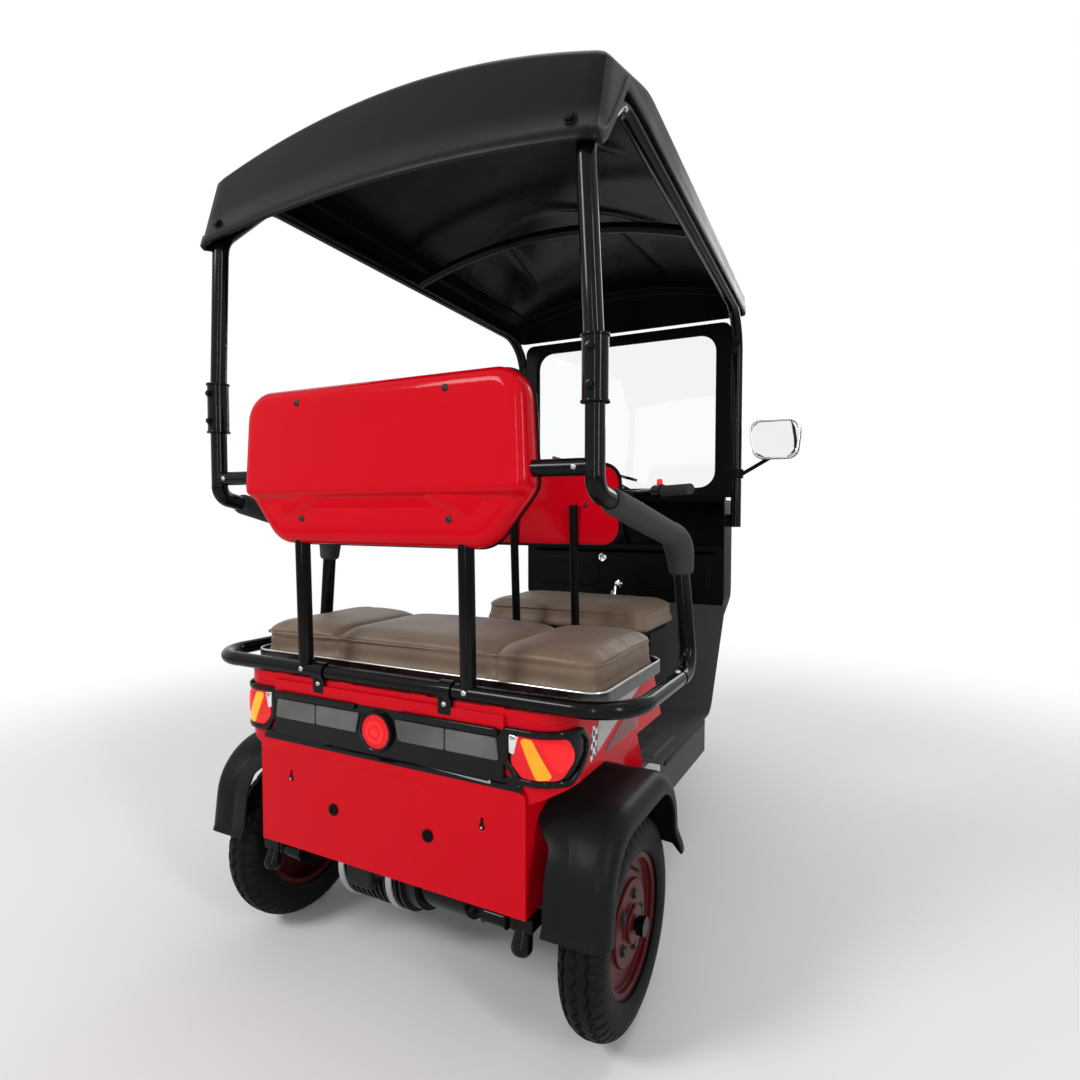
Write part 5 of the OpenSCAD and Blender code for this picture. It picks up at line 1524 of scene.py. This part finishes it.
@dataclass
class RearTrim:
    """Small things on the red rear body: grommets, keyhole plugs, rail straps, side films (their wedges with a painted
    glow) and the tray's painted highlight.
    """

    face_y: float = -0.188
    side_x: float = 0.380
    grommet: Pair = (0.113, 0.362)
    keyhole_x: float = 0.227
    keyhole_z: float = 0.402
    strap_x: float = 0.15
    strap_half: float = 0.0135
    rail: Pair = (-0.176, 0.626)
    rail_r: Pair = (0.0158, 0.0185)
    tray_r: float = 0.036
    tray_inset: float = 0.0015
    tray_highlight_r: float = 0.0021

    def build(self) -> None:
        """Makes the trim."""
        plugs, pins = Shape(), Shape()
        x, z = self.grommet
        for side in SIDES:
            plugs.lathe([(0.0066, -0.004), (0.0066, 0.0), (0.0115, 0.0), (0.0112, 0.003), (0.0085, 0.0042),
                         (0.006, 0.0036), (0.0045, 0.001)], (side * x, self.face_y, z), REAR, 32)
        for side in SIDES:
            x = side * self.keyhole_x
            plugs.lathe([(0.0055, -0.002), (0.0055, 0.0006), (0.004, 0.0016), (0.002, 0.001)],
                        (x, self.face_y + 0.0006, self.keyhole_z + 0.001), REAR, 24)
            pins.lathe([(0.0022, 0.0), (0.0022, 0.0024), (0.0014, 0.0032)], (x, self.face_y, self.keyhole_z), REAR, 12)
        plugs.piece("panel_grommets", TRIM_BLACK)
        pins.piece("keyhole_pins", STEEL)
        self.straps()
        self.films()
        self.tray_highlight_rim()

    def tray_highlight_rim(self) -> None:
        """Makes a bright steel tube along the upper edge of the bench's tray: a painted highlight of that edge."""
        low, high = (np.array(corner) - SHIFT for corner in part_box("bench_tray"))
        middle, half = (low + high) / 2, (high - low) / 2 - self.tray_inset
        loop = box_outline(half[0], half[1], self.tray_r, middle[:2], 320)
        path = np.concatenate([loop, np.full((len(loop), 1), high[2])], axis=-1)
        Shape().tube(path, self.tray_highlight_r, sides=8, closed=True).piece("tray_highlight_rim", STEEL)

    def straps(self) -> None:
        """Makes the black straps over the rail and their screws."""
        straps, screws = Shape(), Shape()
        turn = np.linspace(math.radians(-100), math.radians(100), 17)
        bend = join(-np.cos(turn), np.sin(turn))
        under, over = self.rail_r
        section = np.array(self.rail) + np.vstack([bend * under, bend[::-1] * over])
        for x in (-self.strap_x, self.strap_x):
            ends = np.array([x - self.strap_half, x + self.strap_half])
            points = np.concatenate([np.broadcast_to(ends[:, None, None], (2, len(section), 1)),
                                     np.broadcast_to(section, (2, len(section), 2))], axis=-1)
            straps.grid(points, wrap_cols=True, caps=True)
            straps.patch(box_outline(0.0145, 0.0155, 0.004, (x, 0.6005), 40), dome(0.0075, 0.0015), rearward(-0.181))
            screws.screw((x, -0.1885, 0.604), REAR, 0.005)
        straps.piece("rail_straps", BLACK_TUBE)
        screws.piece("rail_strap_screws", STEEL)

    def films(self) -> None:
        """Makes the printed films on both sides of the upper body; the dark red wedges glow faintly, a painted glow."""
        face, film = rightward(self.side_x + 0.0002), dome(0.0005, 0.0002)
        for name, finish, radius, count, corners in (
            ("side_films", HATCH, 0.002, 120, [(-0.052, 0.512), (0.168, 0.582), (0.172, 0.5885), (-0.04, 0.5885)]),
            ("side_film_squares", CHEQUER, 0.001, 64, [(-0.083, 0.505), (-0.056, 0.511), (-0.046, 0.56),
                                                       (-0.07, 0.566)]),
            ("side_film_wedges", DARK_RED_FILM_GLOW, 0.004, 90, [(-0.03, 0.5), (0.16, 0.5), (0.15, 0.568)]),
        ):
            Shape().patch(outline(corners, radius, count), film, face).mirrored().piece(name, finish)


@dataclass
class FrameFittings:
    """Bolts and sleeves on the tube frame, and the ribs and sills of the floor."""

    post_x: float = 0.432
    post_y: float = -0.184
    sleeve_r: float = 0.0213
    sleeve_bolt_z: Pair = (1.128, 1.185)
    sleeve_ring_z: Pair = (1.106, 1.2055)
    upright_x: float = 0.193
    arm_x: float = 0.485
    tread_z: float = 0.348
    rib_y: Pair = (0.43, 0.574)
    ribs: int = 9
    sill_x: float = 0.36

    def build(self) -> None:
        """Makes the fittings."""
        black, bright = Shape(), Shape()
        for side in SIDES:
            x = side * self.post_x
            for z in self.sleeve_bolt_z:
                black.bolt((x, self.post_y - self.sleeve_r, z), REAR, 0.006)
            for z in self.sleeve_ring_z:
                black.lathe([(0.0165, -0.003), (0.0228, -0.002), (0.0234, 0.0), (0.0228, 0.002), (0.0165, 0.003)],
                            (x, self.post_y, z), UP, 40, closed=True)
            bright.screw((side * self.upright_x, -0.1909, 0.629), REAR, 0.0055)
            bright.screw((side * self.arm_x, 0.085, 0.6405), UP, 0.0055)
            bright.screw((side * (self.post_x - 0.03), self.post_y - 0.014, 1.008), REAR, 0.005)
        black.piece("sleeve_bolts", BLACK_TUBE)
        bright.piece("frame_screws", STEEL)
        self.floor_edges()

    def floor_edges(self) -> None:
        """Makes the ribs of the tread panel and the sill strips beside it."""
        ribs, levels = Shape(), dome(0.0022, 0.0012, rings=2)
        for y in np.linspace(*self.rib_y, self.ribs):
            ribs.patch(box_outline(0.29, 0.0035, 0.003, (0.0, y), 32), levels, upward(self.tread_z))
        ribs.piece("floor_ribs", FLOOR_BLACK)
        sills = Shape().patch(box_outline(0.19, 0.006, 0.003, (0.59, 0.338), 64), dome(0.003, 0.0015),
                              rightward(self.sill_x))
        sills.mirrored().piece("sill_strips", TRIM_BLACK)


@dataclass
class Underbody:
    """Fittings round the rear axle: motor bands and box, brake arms and rods, shackles and spring bolts."""

    axle_z: float = 0.191
    motor_r: float = 0.095
    band_x: Pair = (-0.058, -0.185)
    cover_x: float = 0.1105
    cover_r: float = 0.062
    cover_bolts: tuple[float, ...] = (-0.052, -0.026, 0.0, 0.026, 0.052)
    spring_x: float = 0.2427
    eye_y: float = 0.165
    eye_z: float = 0.236
    eye_lift: float = 0.005
    hanger_z: float = 0.298
    stub_x: float = 0.298
    coil_r: float = 0.0065
    coil_turns: int = 13

    def build(self) -> None:
        """Makes the fittings."""
        bands, r = Shape(), self.motor_r
        for x in self.band_x:
            bands.lathe([(r + 0.0002, -0.008), (r + 0.003, -0.007), (r + 0.003, 0.007), (r + 0.0002, 0.008)],
                        (x, 0.0, self.axle_z), RIGHT, 72, closed=True)
        bands.piece("motor_bands", STEEL)
        box = Shape().patch(box_outline(0.034, 0.026, 0.008, (-0.12, 0.196)), dome(0.028, 0.005), rearward(-0.088))
        box.lathe([(0.011, 0.0), (0.011, 0.008), (0.0075, 0.012), (0.0075, 0.03), (0.005, 0.032)],
                  (-0.082, -0.1, 0.205), (1.0, 0.0, 0.15), 20)
        for y in self.cover_bolts:
            rise = math.sqrt(self.cover_r ** 2 - y ** 2)
            for z in (self.axle_z + rise, self.axle_z - rise):
                box.bolt((self.cover_x, y, z), RIGHT, 0.005)
        box.piece("motor_box", CAST_BLACK)
        self.brakes()
        self.springs()

    def brakes(self) -> None:
        """Makes the brake arms on the backplates with their rods and return springs."""
        arm = route([(0.344, 0.035, 0.215), (0.338, 0.05, 0.252), (0.333, 0.062, 0.29)], [0.02], 14)
        rod = route([(0.333, 0.06, 0.286), (0.325, -0.02, 0.272), (0.322, -0.1, 0.268)], [0.1], 18)
        turn = np.linspace(0.0, self.coil_turns * FULL, 260)
        coil = join(0.323 + self.coil_r * np.cos(turn), np.linspace(-0.098, -0.035, 260),
                    0.27 + self.coil_r * np.sin(turn))
        bright = Shape().tube(arm, 0.0055, sides=10).tube(rod, 0.0032, sides=8).tube(coil, 0.0011, sides=5)
        bright.bolt((0.3485, 0.035, 0.214), (-1.0, 0.0, 0.0), 0.008)
        bright.mirrored().piece("brake_rods", STEEL)

    def springs(self) -> None:
        """Makes the springs' eyes, shackles, stops, seats and bolts."""
        black, x, foot = Shape(), self.spring_x, self.eye_z - 0.012
        for y in (-self.eye_y, self.eye_y):
            eye = (x, y, self.eye_z + self.eye_lift)
            black.lathe([(0.009, -0.0215), (0.0155, -0.0215), (0.0155, 0.0215), (0.009, 0.0215)], eye, RIGHT, 32,
                        closed=True)
            black.lathe([(0.0088, -0.026), (0.0088, 0.026)], eye, RIGHT, 20)
            plate = outline([(y - 0.014, foot), (y + 0.014, foot), (y + 0.014, self.hanger_z),
                             (y - 0.014, self.hanger_z)], 0.012, 40)
            for side in (-0.0245, 0.0205):
                black.patch(plate, dome(0.004, 0.001), rightward(x + side))
        stub = route([(self.stub_x, -0.163, 0.25), (self.stub_x, -0.172, 0.218), (self.stub_x, -0.18, 0.196)], [0.03],
                     14)
        black.tube(stub, np.concatenate([np.linspace(0.014, 0.019, 11), [0.0185, 0.0165, 0.012]]), sides=20)
        black.patch(box_outline(0.022, 0.0135, 0.004, (self.stub_x, 0.2478), 40), dome(0.034, 0.003), rearward(-0.146))
        for y in (-0.02, 0.02):
            bend = route([(x - 0.024, y, 0.262), (x - 0.024, y, 0.155), (x + 0.024, y, 0.155), (x + 0.024, y, 0.262)],
                         [0.012, 0.012], 40)
            black.tube(bend, 0.005, sides=10)
        for z in (0.2445, 0.1565):
            black.patch(box_outline(0.034, 0.034, 0.006, (x, 0.0), 40), dome(0.006, 0.0015), upward(z))
        black.mirrored().piece("spring_fittings", BLACK_TUBE)


@dataclass
class Cockpit:
    """What the driver faces: the glove lids, key, bag hook, mirrors' rims, the windscreen's seal and the wiper."""

    panel_y: float = 1.03
    lid_x: float = 0.195
    hook_z: float = 0.69
    screen_y: float = 1.053
    screen_half: float = 0.325
    screen_low: float = 1.01
    screen_high: float = 1.51
    screen_r: float = 0.06
    seal_side: float = 0.0035
    seal_r: float = 0.0038
    seal_half: float = 0.352
    seal_z: float = 0.9795
    wiper_out: float = 0.0195
    blade_in: float = 0.0085

    def build(self) -> None:
        """Makes the fittings."""
        lids, face = Shape(), rearward(self.panel_y)
        lids.patch(box_outline(0.12, 0.052, 0.014, (self.lid_x, 0.735), 64), dome(0.006, 0.003), face)
        lids.patch(box_outline(0.03, 0.007, 0.004, (self.lid_x, 0.77), 40), dome(0.012, 0.003, back=0.004), face)
        lids.patch(box_outline(0.33, 0.006, 0.004, (0.0, 0.806), 80), dome(0.006, 0.003), face)
        lids.mirrored().piece("glove_lids", TRIM_BLACK)
        z = self.hook_z
        hook = route([(0.0, 1.031, z), (0.0, 0.998, z), (0.0, 0.992, 0.655), (0.0, 0.972, 0.652), (0.0, 0.968, 0.676)],
                     [0.01, 0.012, 0.01], 40)
        bright = Shape().tube(hook, 0.0042, sides=12)
        bright.lathe([(0.014, 0.0), (0.014, 0.003), (0.009, 0.0045)], (0.0, self.panel_y, z), REAR, 28)
        bright.lathe([(0.015, 0.0), (0.015, 0.004), (0.012, 0.006), (0.011, 0.005), (0.006, 0.0045)],
                     (-0.06, self.panel_y, 0.78), REAR, 32)
        bright.piece("bag_hook_and_key_barrel", CHROME)
        rim = outline([(0.442, 1.1), (0.569, 1.1), (0.58, 1.22), (0.42, 1.22)], 0.034, 120)
        rims = Shape().patch(rim, frame_levels(0.0035, 0.006, 0.0015), rearward(1.035), ring=True)
        rims.mirrored().piece("mirror_rims", CHROME)
        self.seal()
        self.wiper()

    def seal(self) -> None:
        """Makes the rubber seal round the pane, on both faces, and the one under the windscreen's frame."""
        loop = outline(two_sided((self.screen_half, self.screen_low), (self.screen_half, self.screen_high)),
                       self.screen_r, 200)
        shape, y = Shape(), self.screen_y
        for side in SIDES:
            shape.tube(upright(inset_by(loop, 0.003), y + side * self.seal_side), self.seal_r, 8, closed=True)
        shape.tube(resample([(-self.seal_half, y, self.seal_z), (self.seal_half, y, self.seal_z)], 24), 0.0085, 12)
        shape.piece("screen_seal", TRIM_BLACK)

    def wiper(self) -> None:
        """Makes the wiper in front of the pane: spindle, arm and blade."""
        y = self.screen_y + self.wiper_out
        pivot, tip, blade = (0.05, y, 0.996), (-0.11, y - 0.002, 1.09), y - self.blade_in
        shape = Shape().lathe([(0.012, -0.016), (0.012, 0.004), (0.008, 0.007)], pivot, AHEAD, 24)
        shape.tube(resample([pivot, (-0.06, y, 1.06), tip], 14), np.linspace(0.006, 0.0035, 14), 10)
        shape.tube(resample([(0.05, blade, 1.045), (-0.27, blade, 1.135)], 30), 0.005, 8)
        shape.tube(np.array([tip, (-0.11, blade, 1.09)]), 0.004, 8)
        shape.piece("wiper", TRIM_BLACK)


@dataclass
class FrontLamp:
    """Headlamp: a bright bowl with its bulb behind a clear lens, in a chrome rim, with two small turn lamps."""

    front: float = 1.31
    height: float = 0.83
    radius: float = 0.075
    rim_width: float = 0.004
    bulge: float = 0.014
    bowl_depth: float = 0.07
    turn_y: float = 1.19

    def build(self) -> None:
        """Makes the lamp."""
        centre = (0.0, self.front - self.bulge, self.height)
        r = self.radius - self.rim_width
        bowl = np.vstack([self.dish(-self.bowl_depth, -0.004), self.dish(-self.bowl_depth, -0.007, 0.002)[::-1]])
        lens = np.vstack([self.dish(self.bulge, -0.002), self.dish(self.bulge, -0.0055)[::-1]])
        rim = [(r - 0.001, -0.01), (self.radius, -0.03), (self.radius, 0.002), (self.radius - 0.002, 0.005),
               (r - 0.001, 0.003)]
        for name, finish, profile, stands_for in (("headlamp_bowl", CHROME, bowl, ()),
                                                  ("headlamp_lens", LAMP_GLASS, lens, ("headlamp",)),
                                                  ("headlamp_rim", CHROME, rim, ())):
            Shape().lathe(profile, centre, AHEAD, 72, closed=True).piece(name, finish, *stands_for)
        bulb = [(0.008, -0.072), (0.008, -0.05), (0.011, -0.044), (0.011, -0.034), (0.006, -0.027)]
        Shape().lathe(bulb, centre, AHEAD, 24).piece("headlamp_bulb", STEEL)
        turn_lamp = outline([(0.2, 0.8), (0.29, 0.815), (0.29, 0.85), (0.2, 0.845)], 0.012, 72)
        turn_lamps = Shape().patch(turn_lamp, dome(0.01, 0.005, crown=0.003), forward(self.turn_y))
        turn_lamps.mirrored().piece("front_turn_lamps", AMBER_LENS)

    def dish(self, depth: float, lift: float, spread: float = 0.0) -> Array:
        """Profile of a dish from its edge to its middle: the height falls off with the square of the radius.

        Args:
            depth: Height of the middle over the edge.
            lift: Height of the edge.
            spread: Radius added all along.

        Returns:
            Rows of radius and height.
        """
        share = np.linspace(1.0, 0.02, 22)
        return join((self.radius - self.rim_width) * share + spread, depth * (1 - share ** 2) + lift)


@dataclass
class FrontMouldings:
    """Black fairing in front of the driver's legs and the red nose round the headlamp's opening."""

    half: float = 0.355
    low_half: float = 0.3
    brow_z: float = 0.66
    low: float = 0.345
    high: float = 0.975
    toe_y: float = 0.87
    toe_z: float = 0.64
    back: float = 1.03
    front: float = 1.19
    skin: float = 0.004
    squareness: float = 9.0
    nose_half: float = 0.15
    nose_low: float = 0.648
    nose_high: float = 0.97
    nose_depth: float = 0.12
    nose_power: float = 3.2
    nose_fall: float = 2.15
    nose_corner: float = 0.04
    lamp_z: float = 0.83
    lamp_r: float = 0.0762
    lamp_lip: float = 0.03

    def build(self) -> None:
        """Makes both mouldings."""
        self.fairing().piece("fairing_moulding", TRIM_BLACK, "front_fairing", sharp=50.0)
        self.nose().piece("nose_moulding", RED, "nose_cowl", sharp=50.0)

    def fairing(self) -> Shape:
        """Shell that carries a squared arch up a rounded profile.

        At each height the plan is a superellipse from the open back to the profile, as wide as the front.

        Returns:
            The fairing.
        """
        profile = route([(0.9, self.low), (0.922, self.low + 0.003), (1.085, 0.56), (self.front, self.brow_z),
                         (self.front, self.high), (self.back + 0.012, self.high)], [0.012, 0.15, 0.09, 0.03], 120)
        inner = profile + left_of(heading(profile)) * self.skin
        across = np.sin(np.linspace(-QUARTER, QUARTER, 61))
        outside, inside = self.arch(profile, across, 0.0), self.arch(inner, across, self.skin)[:, ::-1]
        return Shape().grid(np.concatenate([outside, inside], axis=1), wrap_cols=True, caps=True)

    def arch(self, profile: Array, across: Array, inset: float) -> Array:
        """Rows of the fairing, one to each point of its profile.

        Args:
            profile: Places along Y and heights.
            across: Places from -1 to 1 over the width.
            inset: Distance inside the outer surface at the sides.

        Returns:
            Rows of points.
        """
        half = np.interp(profile[:, 1], [self.low, self.brow_z], [self.low_half, self.half]) - inset
        back = np.interp(profile[:, 1], [self.low, self.toe_z], [self.toe_y, self.back])
        reach = (1.0 - np.abs(across) ** self.squareness) ** (1.0 / self.squareness)
        y = back[:, None] + np.maximum(profile[:, :1] - back[:, None], 0.0) * reach[None, :]
        z = np.broadcast_to(profile[:, 1:], y.shape)
        return join(half[:, None] * across[None, :], y, z)

    def nose(self) -> Shape:
        """Shell between the lamp's opening and a rounded outline, crowned in width and in height."""
        loop = outline(two_sided((self.nose_half, self.nose_low), (self.nose_half, self.nose_high)), self.nose_corner,
                       150)
        centre = np.array([0.0, self.lamp_z])
        share = np.sin(np.linspace(0.0, QUARTER, 24))[:, None, None]
        rows = []
        for inset in (0.0, self.skin):
            edge = inset_by(loop, inset)
            ring = centre + (self.lamp_r + inset) * unit(loop - centre)
            plan = ring + (edge - ring) * share
            y = self.crown(plan) - inset
            lip, foot = upright(ring, y[0] - self.lamp_lip), upright(edge, self.front)
            rows.append(np.concatenate([lip[None], upright(plan, y), foot[None]]))
        return Shape().grid(np.concatenate([rows[0], rows[1][::-1]]), wrap_rows=True, wrap_cols=True)

    def crown(self, plan: Array) -> Array:
        """Place along Y of the nose's face: a superellipse in width, whose depth falls with the height's square."""
        across = np.minimum(np.abs(plan[..., 0]) / self.nose_half, 1.0)
        width = (1.0 - across ** self.nose_power) ** (1 / self.nose_power)
        depth = self.nose_depth - self.nose_fall * (plan[..., 1] - self.lamp_z) ** 2
        return self.front + depth * width


@dataclass
class SteeringFittings:
    """Pieces that turn with the handlebar: fork boots, nuts and bolts, the red switch and the front mudguard."""

    rake: float = math.radians(25)
    offset: float = 0.033
    leg_x: float = 0.075
    leg_r: float = 0.017
    boot: Pair = (0.245, 0.41)
    boot_gap: float = 0.0006
    folds: int = 11
    clamp_up: float = 0.906
    clamp_half: float = 0.0216
    clamp_x: float = 0.018
    switch: Triple = (0.19, 0.006, 0.01)
    guard_r: float = 0.211
    guard_half: float = 0.054
    guard_span: Pair = (math.radians(5), math.radians(160))
    guard_skin: float = 0.003
    guard_crown: float = 0.006
    guard_lip: float = 0.007
    guard_end: float = 0.22
    boss_r: float = 0.013

    def build(self) -> None:
        """Makes the pieces."""
        foot = np.array(JOINTS["steering_turn"]["pos_m"]) - SHIFT
        up = np.array([0.0, -math.sin(self.rake), math.cos(self.rake)])
        ahead = np.array([0.0, math.cos(self.rake), math.sin(self.rake)])
        hub = foot + ahead * self.offset
        run, (low, high) = np.linspace(0.0, 1.0, 91), self.boot
        folds = join(self.leg_r + 0.0035 + 0.0022 * np.cos(run * self.folds * FULL), low + (high - low) * run)
        neck = self.leg_r + self.boot_gap
        boots = Shape().lathe(np.vstack([[(neck, low)], folds, [(neck, high)]]), hub + np.array([self.leg_x, 0.0, 0.0]),
                              up, 32)
        boots.mirrored().piece("fork_boots", FOAM, body=Body.STEERING)
        bright = Shape().lathe([(0.0165, 0.0), (0.0165, 0.003), (0.0145, 0.0032), (0.0145, 0.011), (0.0125, 0.0125)],
                               hub + np.array([self.leg_x + self.leg_r, 0.0, 0.0]), RIGHT, 6)
        clamp = foot + up * self.clamp_up + np.array([self.clamp_x, 0.0, 0.0])
        for out in (ahead, -ahead):
            bright.bolt(clamp + out * self.clamp_half, out, 0.005)
        bright.mirrored().piece("fork_nuts", STEEL, body=Body.STEERING)
        grip = np.array(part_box("grips")[1]) - SHIFT
        x, forth, lift = self.switch
        button = np.array([x, grip[1] + forth, grip[2] + lift])
        # The switch takes the bright red lens finish, so it glows though it is no lamp: a painted glow.
        switch = Shape().lathe([(0.009, -0.012), (0.009, 0.006), (0.007, 0.009), (0.003, 0.0095)], button,
                               (0.1, -0.2, 1.0), 24)
        switch.piece("red_switch_painted_glow", BRIGHT_RED_LENS, body=Body.STEERING)
        self.guard(hub, up, ahead).piece("front_mudguard_moulding", GUARD_BLACK, "front_mudguard", body=Body.STEERING,
                                         sharp=50.0)

    def guard(self, hub: Array, up: Array, ahead: Array) -> Shape:
        """Front mudguard with its bosses on the fork's legs.

        A crowned section with lips turned down is carried round the axle, and its width falls off along a quarter
        circle towards both ends.

        Args:
            hub: Middle of the front axle.
            up: Direction along the fork.
            ahead: Direction square to the fork, to the front.

        Returns:
            The mudguard.
        """
        turn = np.linspace(*self.guard_span, 73)
        across = np.linspace(-1.0, 1.0, 25)
        rise = self.guard_crown * (1.0 - across ** 2) - self.guard_lip * ease(np.abs(across), 0.84, 1.0)
        place = np.concatenate([across, across[::-1]])
        radius = self.guard_r + np.concatenate([rise, rise[::-1] - self.guard_skin])
        from_end = np.minimum(np.minimum(turn - turn[0], turn[-1] - turn) / self.guard_end, 1.0)
        half = self.guard_half * (0.5 + 0.5 * np.sqrt(1.0 - (1.0 - from_end) ** 2))
        ring = np.cos(turn)[:, None] * ahead + np.sin(turn)[:, None] * up
        points = hub + radius[None, :, None] * ring[:, None, :]
        points[..., 0] += half[:, None] * place[None, :]
        shape = Shape().grid(points, wrap_cols=True, caps=True)
        for side in SIDES:
            ends = [(side * x, 0.0, 0.0) for x in (self.guard_half - self.guard_crown, self.leg_x - self.leg_r)]
            shape.tube(hub + up * self.guard_r + resample(ends, 4), self.boss_r, 24)
        return shape


@dataclass
class Studio:
    """Floor, light and camera."""

    eye: Triple = (0.845, -1.144, 0.939)
    yaw: float = math.radians(27.89)
    pitch: float = math.radians(-2.40)
    focal_px: float = 679.4
    frame_px: float = 1080.0
    sensor: float = 36.0
    ambient: float = 0.3
    floor_half: float = 30.0
    floor_tone: Triple = (0.86, 0.86, 0.86)
    fade: Pair = (1.4, 3.2)

    def build(self) -> None:
        """Makes the floor, the lamps, the world and the camera."""
        self.camera()
        self.floor()
        self.world()
        self.lamp("key", (-1.6, -3.6, 2.9), (0.0, -0.3, 0.8), (1.1, 1.1), 88.0)
        self.lamp("fill", (3.4, -2.2, 2.0), (0.0, 0.0, 0.8), (0.3, 1.9), 45.0)
        self.lamp("strip", (1.5, -4.4, 1.5), (0.0, -0.6, 0.9), (0.09, 2.2), 22.0)
        self.lamp("top", (0.2, 0.3, 4.2), (0.0, 0.0, 0.8), (2.4, 2.4), 35.0)
        self.lamp("front", (0.6, 4.0, 2.6), (0.0, 0.0, 0.9), (2.0, 2.0), 50.0)
        bpy.context.scene.view_settings.view_transform = "Standard"

    def camera(self) -> None:
        """Places the camera where the photograph was taken from."""
        data = bpy.data.cameras.new("camera")
        data.sensor_width = self.sensor
        data.lens = self.focal_px / self.frame_px * self.sensor
        obj = new_object("camera", data)
        obj.location = (self.eye[0], self.eye[1] + AXLE_Y, self.eye[2])
        obj.rotation_euler = (QUARTER + self.pitch, 0.0, self.yaw)
        bpy.context.scene.camera = obj

    @staticmethod
    def lamp(name: str, at: Point, to: Point, size: Pair, power: float) -> None:
        """Adds a soft box lamp of a width and a height, aimed at a point."""
        data = bpy.data.lights.new(name, "AREA")
        data.shape, data.energy = "RECTANGLE", power
        data.size, data.size_y = size
        obj = new_object(name, data)
        obj.location = at
        obj.rotation_euler = (Vector(to) - Vector(at)).to_track_quat("-Z", "Y").to_euler()

    def world(self) -> None:
        """Soft light from all round, plain white to the camera, to gloss and through glass."""
        world = bpy.data.worlds.new("studio")
        bpy.context.scene.world = world
        world.use_nodes = True
        nodes = Nodes(world.node_tree)
        background = nodes.tree.nodes["Background"]
        background.inputs["Color"].default_value = (1.0, 1.0, 1.0, 1.0)
        ray = nodes.new("ShaderNodeLightPath")
        seen, through = (nodes.new("ShaderNodeMath", operation="MAXIMUM") for _ in range(2))
        strength = nodes.new("ShaderNodeMapRange", {"To Min": self.ambient, "To Max": 1.0})
        nodes.link(ray, "Is Camera Ray", seen, 0)
        nodes.link(ray, "Is Glossy Ray", seen, 1)
        nodes.link(seen, "Value", through, 0)
        nodes.link(ray, "Is Transmission Ray", through, 1)
        nodes.link(through, "Value", strength)
        nodes.link(strength, "Result", background, "Strength")

    def floor(self) -> None:
        """Pale floor that keeps the shadow near the wheels and fades to white further out."""
        side = np.array([-self.floor_half, self.floor_half])
        x, y = np.meshgrid(side, side)
        floor = Shape().grid(join(x, y, np.zeros_like(x)) - SHIFT).build("floor")
        sheet = Sheet("pale_floor")
        sheet.set(Base_Color=opaque(self.floor_tone), Roughness=0.7)
        glow, mix, ray = (sheet.new(kind) for kind in ("ShaderNodeEmission", "ShaderNodeMixShader",
                                                       "ShaderNodeLightPath"))
        radius = sheet.new("ShaderNodeVectorMath", operation="LENGTH")
        far = sheet.new("ShaderNodeMapRange", {"From Min": self.fade[0], "From Max": self.fade[1]},
                        interpolation_type="SMOOTHSTEP")
        seen, both = (sheet.new("ShaderNodeMath", operation=kind) for kind in ("MAXIMUM", "MULTIPLY"))
        sheet.link(sheet.place, "Object", radius, 0)
        sheet.link(radius, "Value", far)
        sheet.link(far, "Result", both, 0)
        sheet.link(ray, "Is Camera Ray", seen, 0)
        sheet.link(ray, "Is Transmission Ray", seen, 1)
        sheet.link(seen, "Value", both, 1)
        sheet.link(both, "Value", mix, "Fac")
        sheet.link(sheet.shader, "BSDF", mix, 1)
        sheet.link(glow, "Emission", mix, 2)
        sheet.link(mix, "Shader", sheet.out, "Surface")
        floor.data.materials.append(sheet.material)


def main() -> None:
    """Builds the tricycle's pieces in order and sets the studio round them."""
    Studio().build()
    Solids().build()
    Wheel(Body.FRONT_WHEEL, "front_tyre").build()
    Wheel(Body.REAR_LEFT, "rear_tyre_left", out_side=-1.0).build()
    Wheel(Body.REAR_RIGHT, "rear_tyre_right").build()
    Mudguards().build()
    Roof().build()
    BackShell("rear_backrest_moulding", "backrest_shell", ((0.247, 0.877), (0.329, 0.977), (0.317, 1.175)),
              (0.07, 0.04, 0.06), -0.216, 0.052, ((0.172, 1.145), (0.172, 0.926)), ledge_z=0.977, ledge=0.014).build()
    BackShell("driver_backrest_moulding", "driver_backrest_shell", ((0.218, 0.849), (0.218, 1.062)), (0.05, 0.05),
              0.45, 0.034, ((0.12, 0.955),), edge=0.02).build()
    for assembly in (Upholstery, ArmrestSleeves, RearLamps, RearTrim, FrameFittings, Underbody, Cockpit,
                     FrontMouldings, FrontLamp, SteeringFittings):
        assembly().build()


if __name__ == "__main__":
    main()
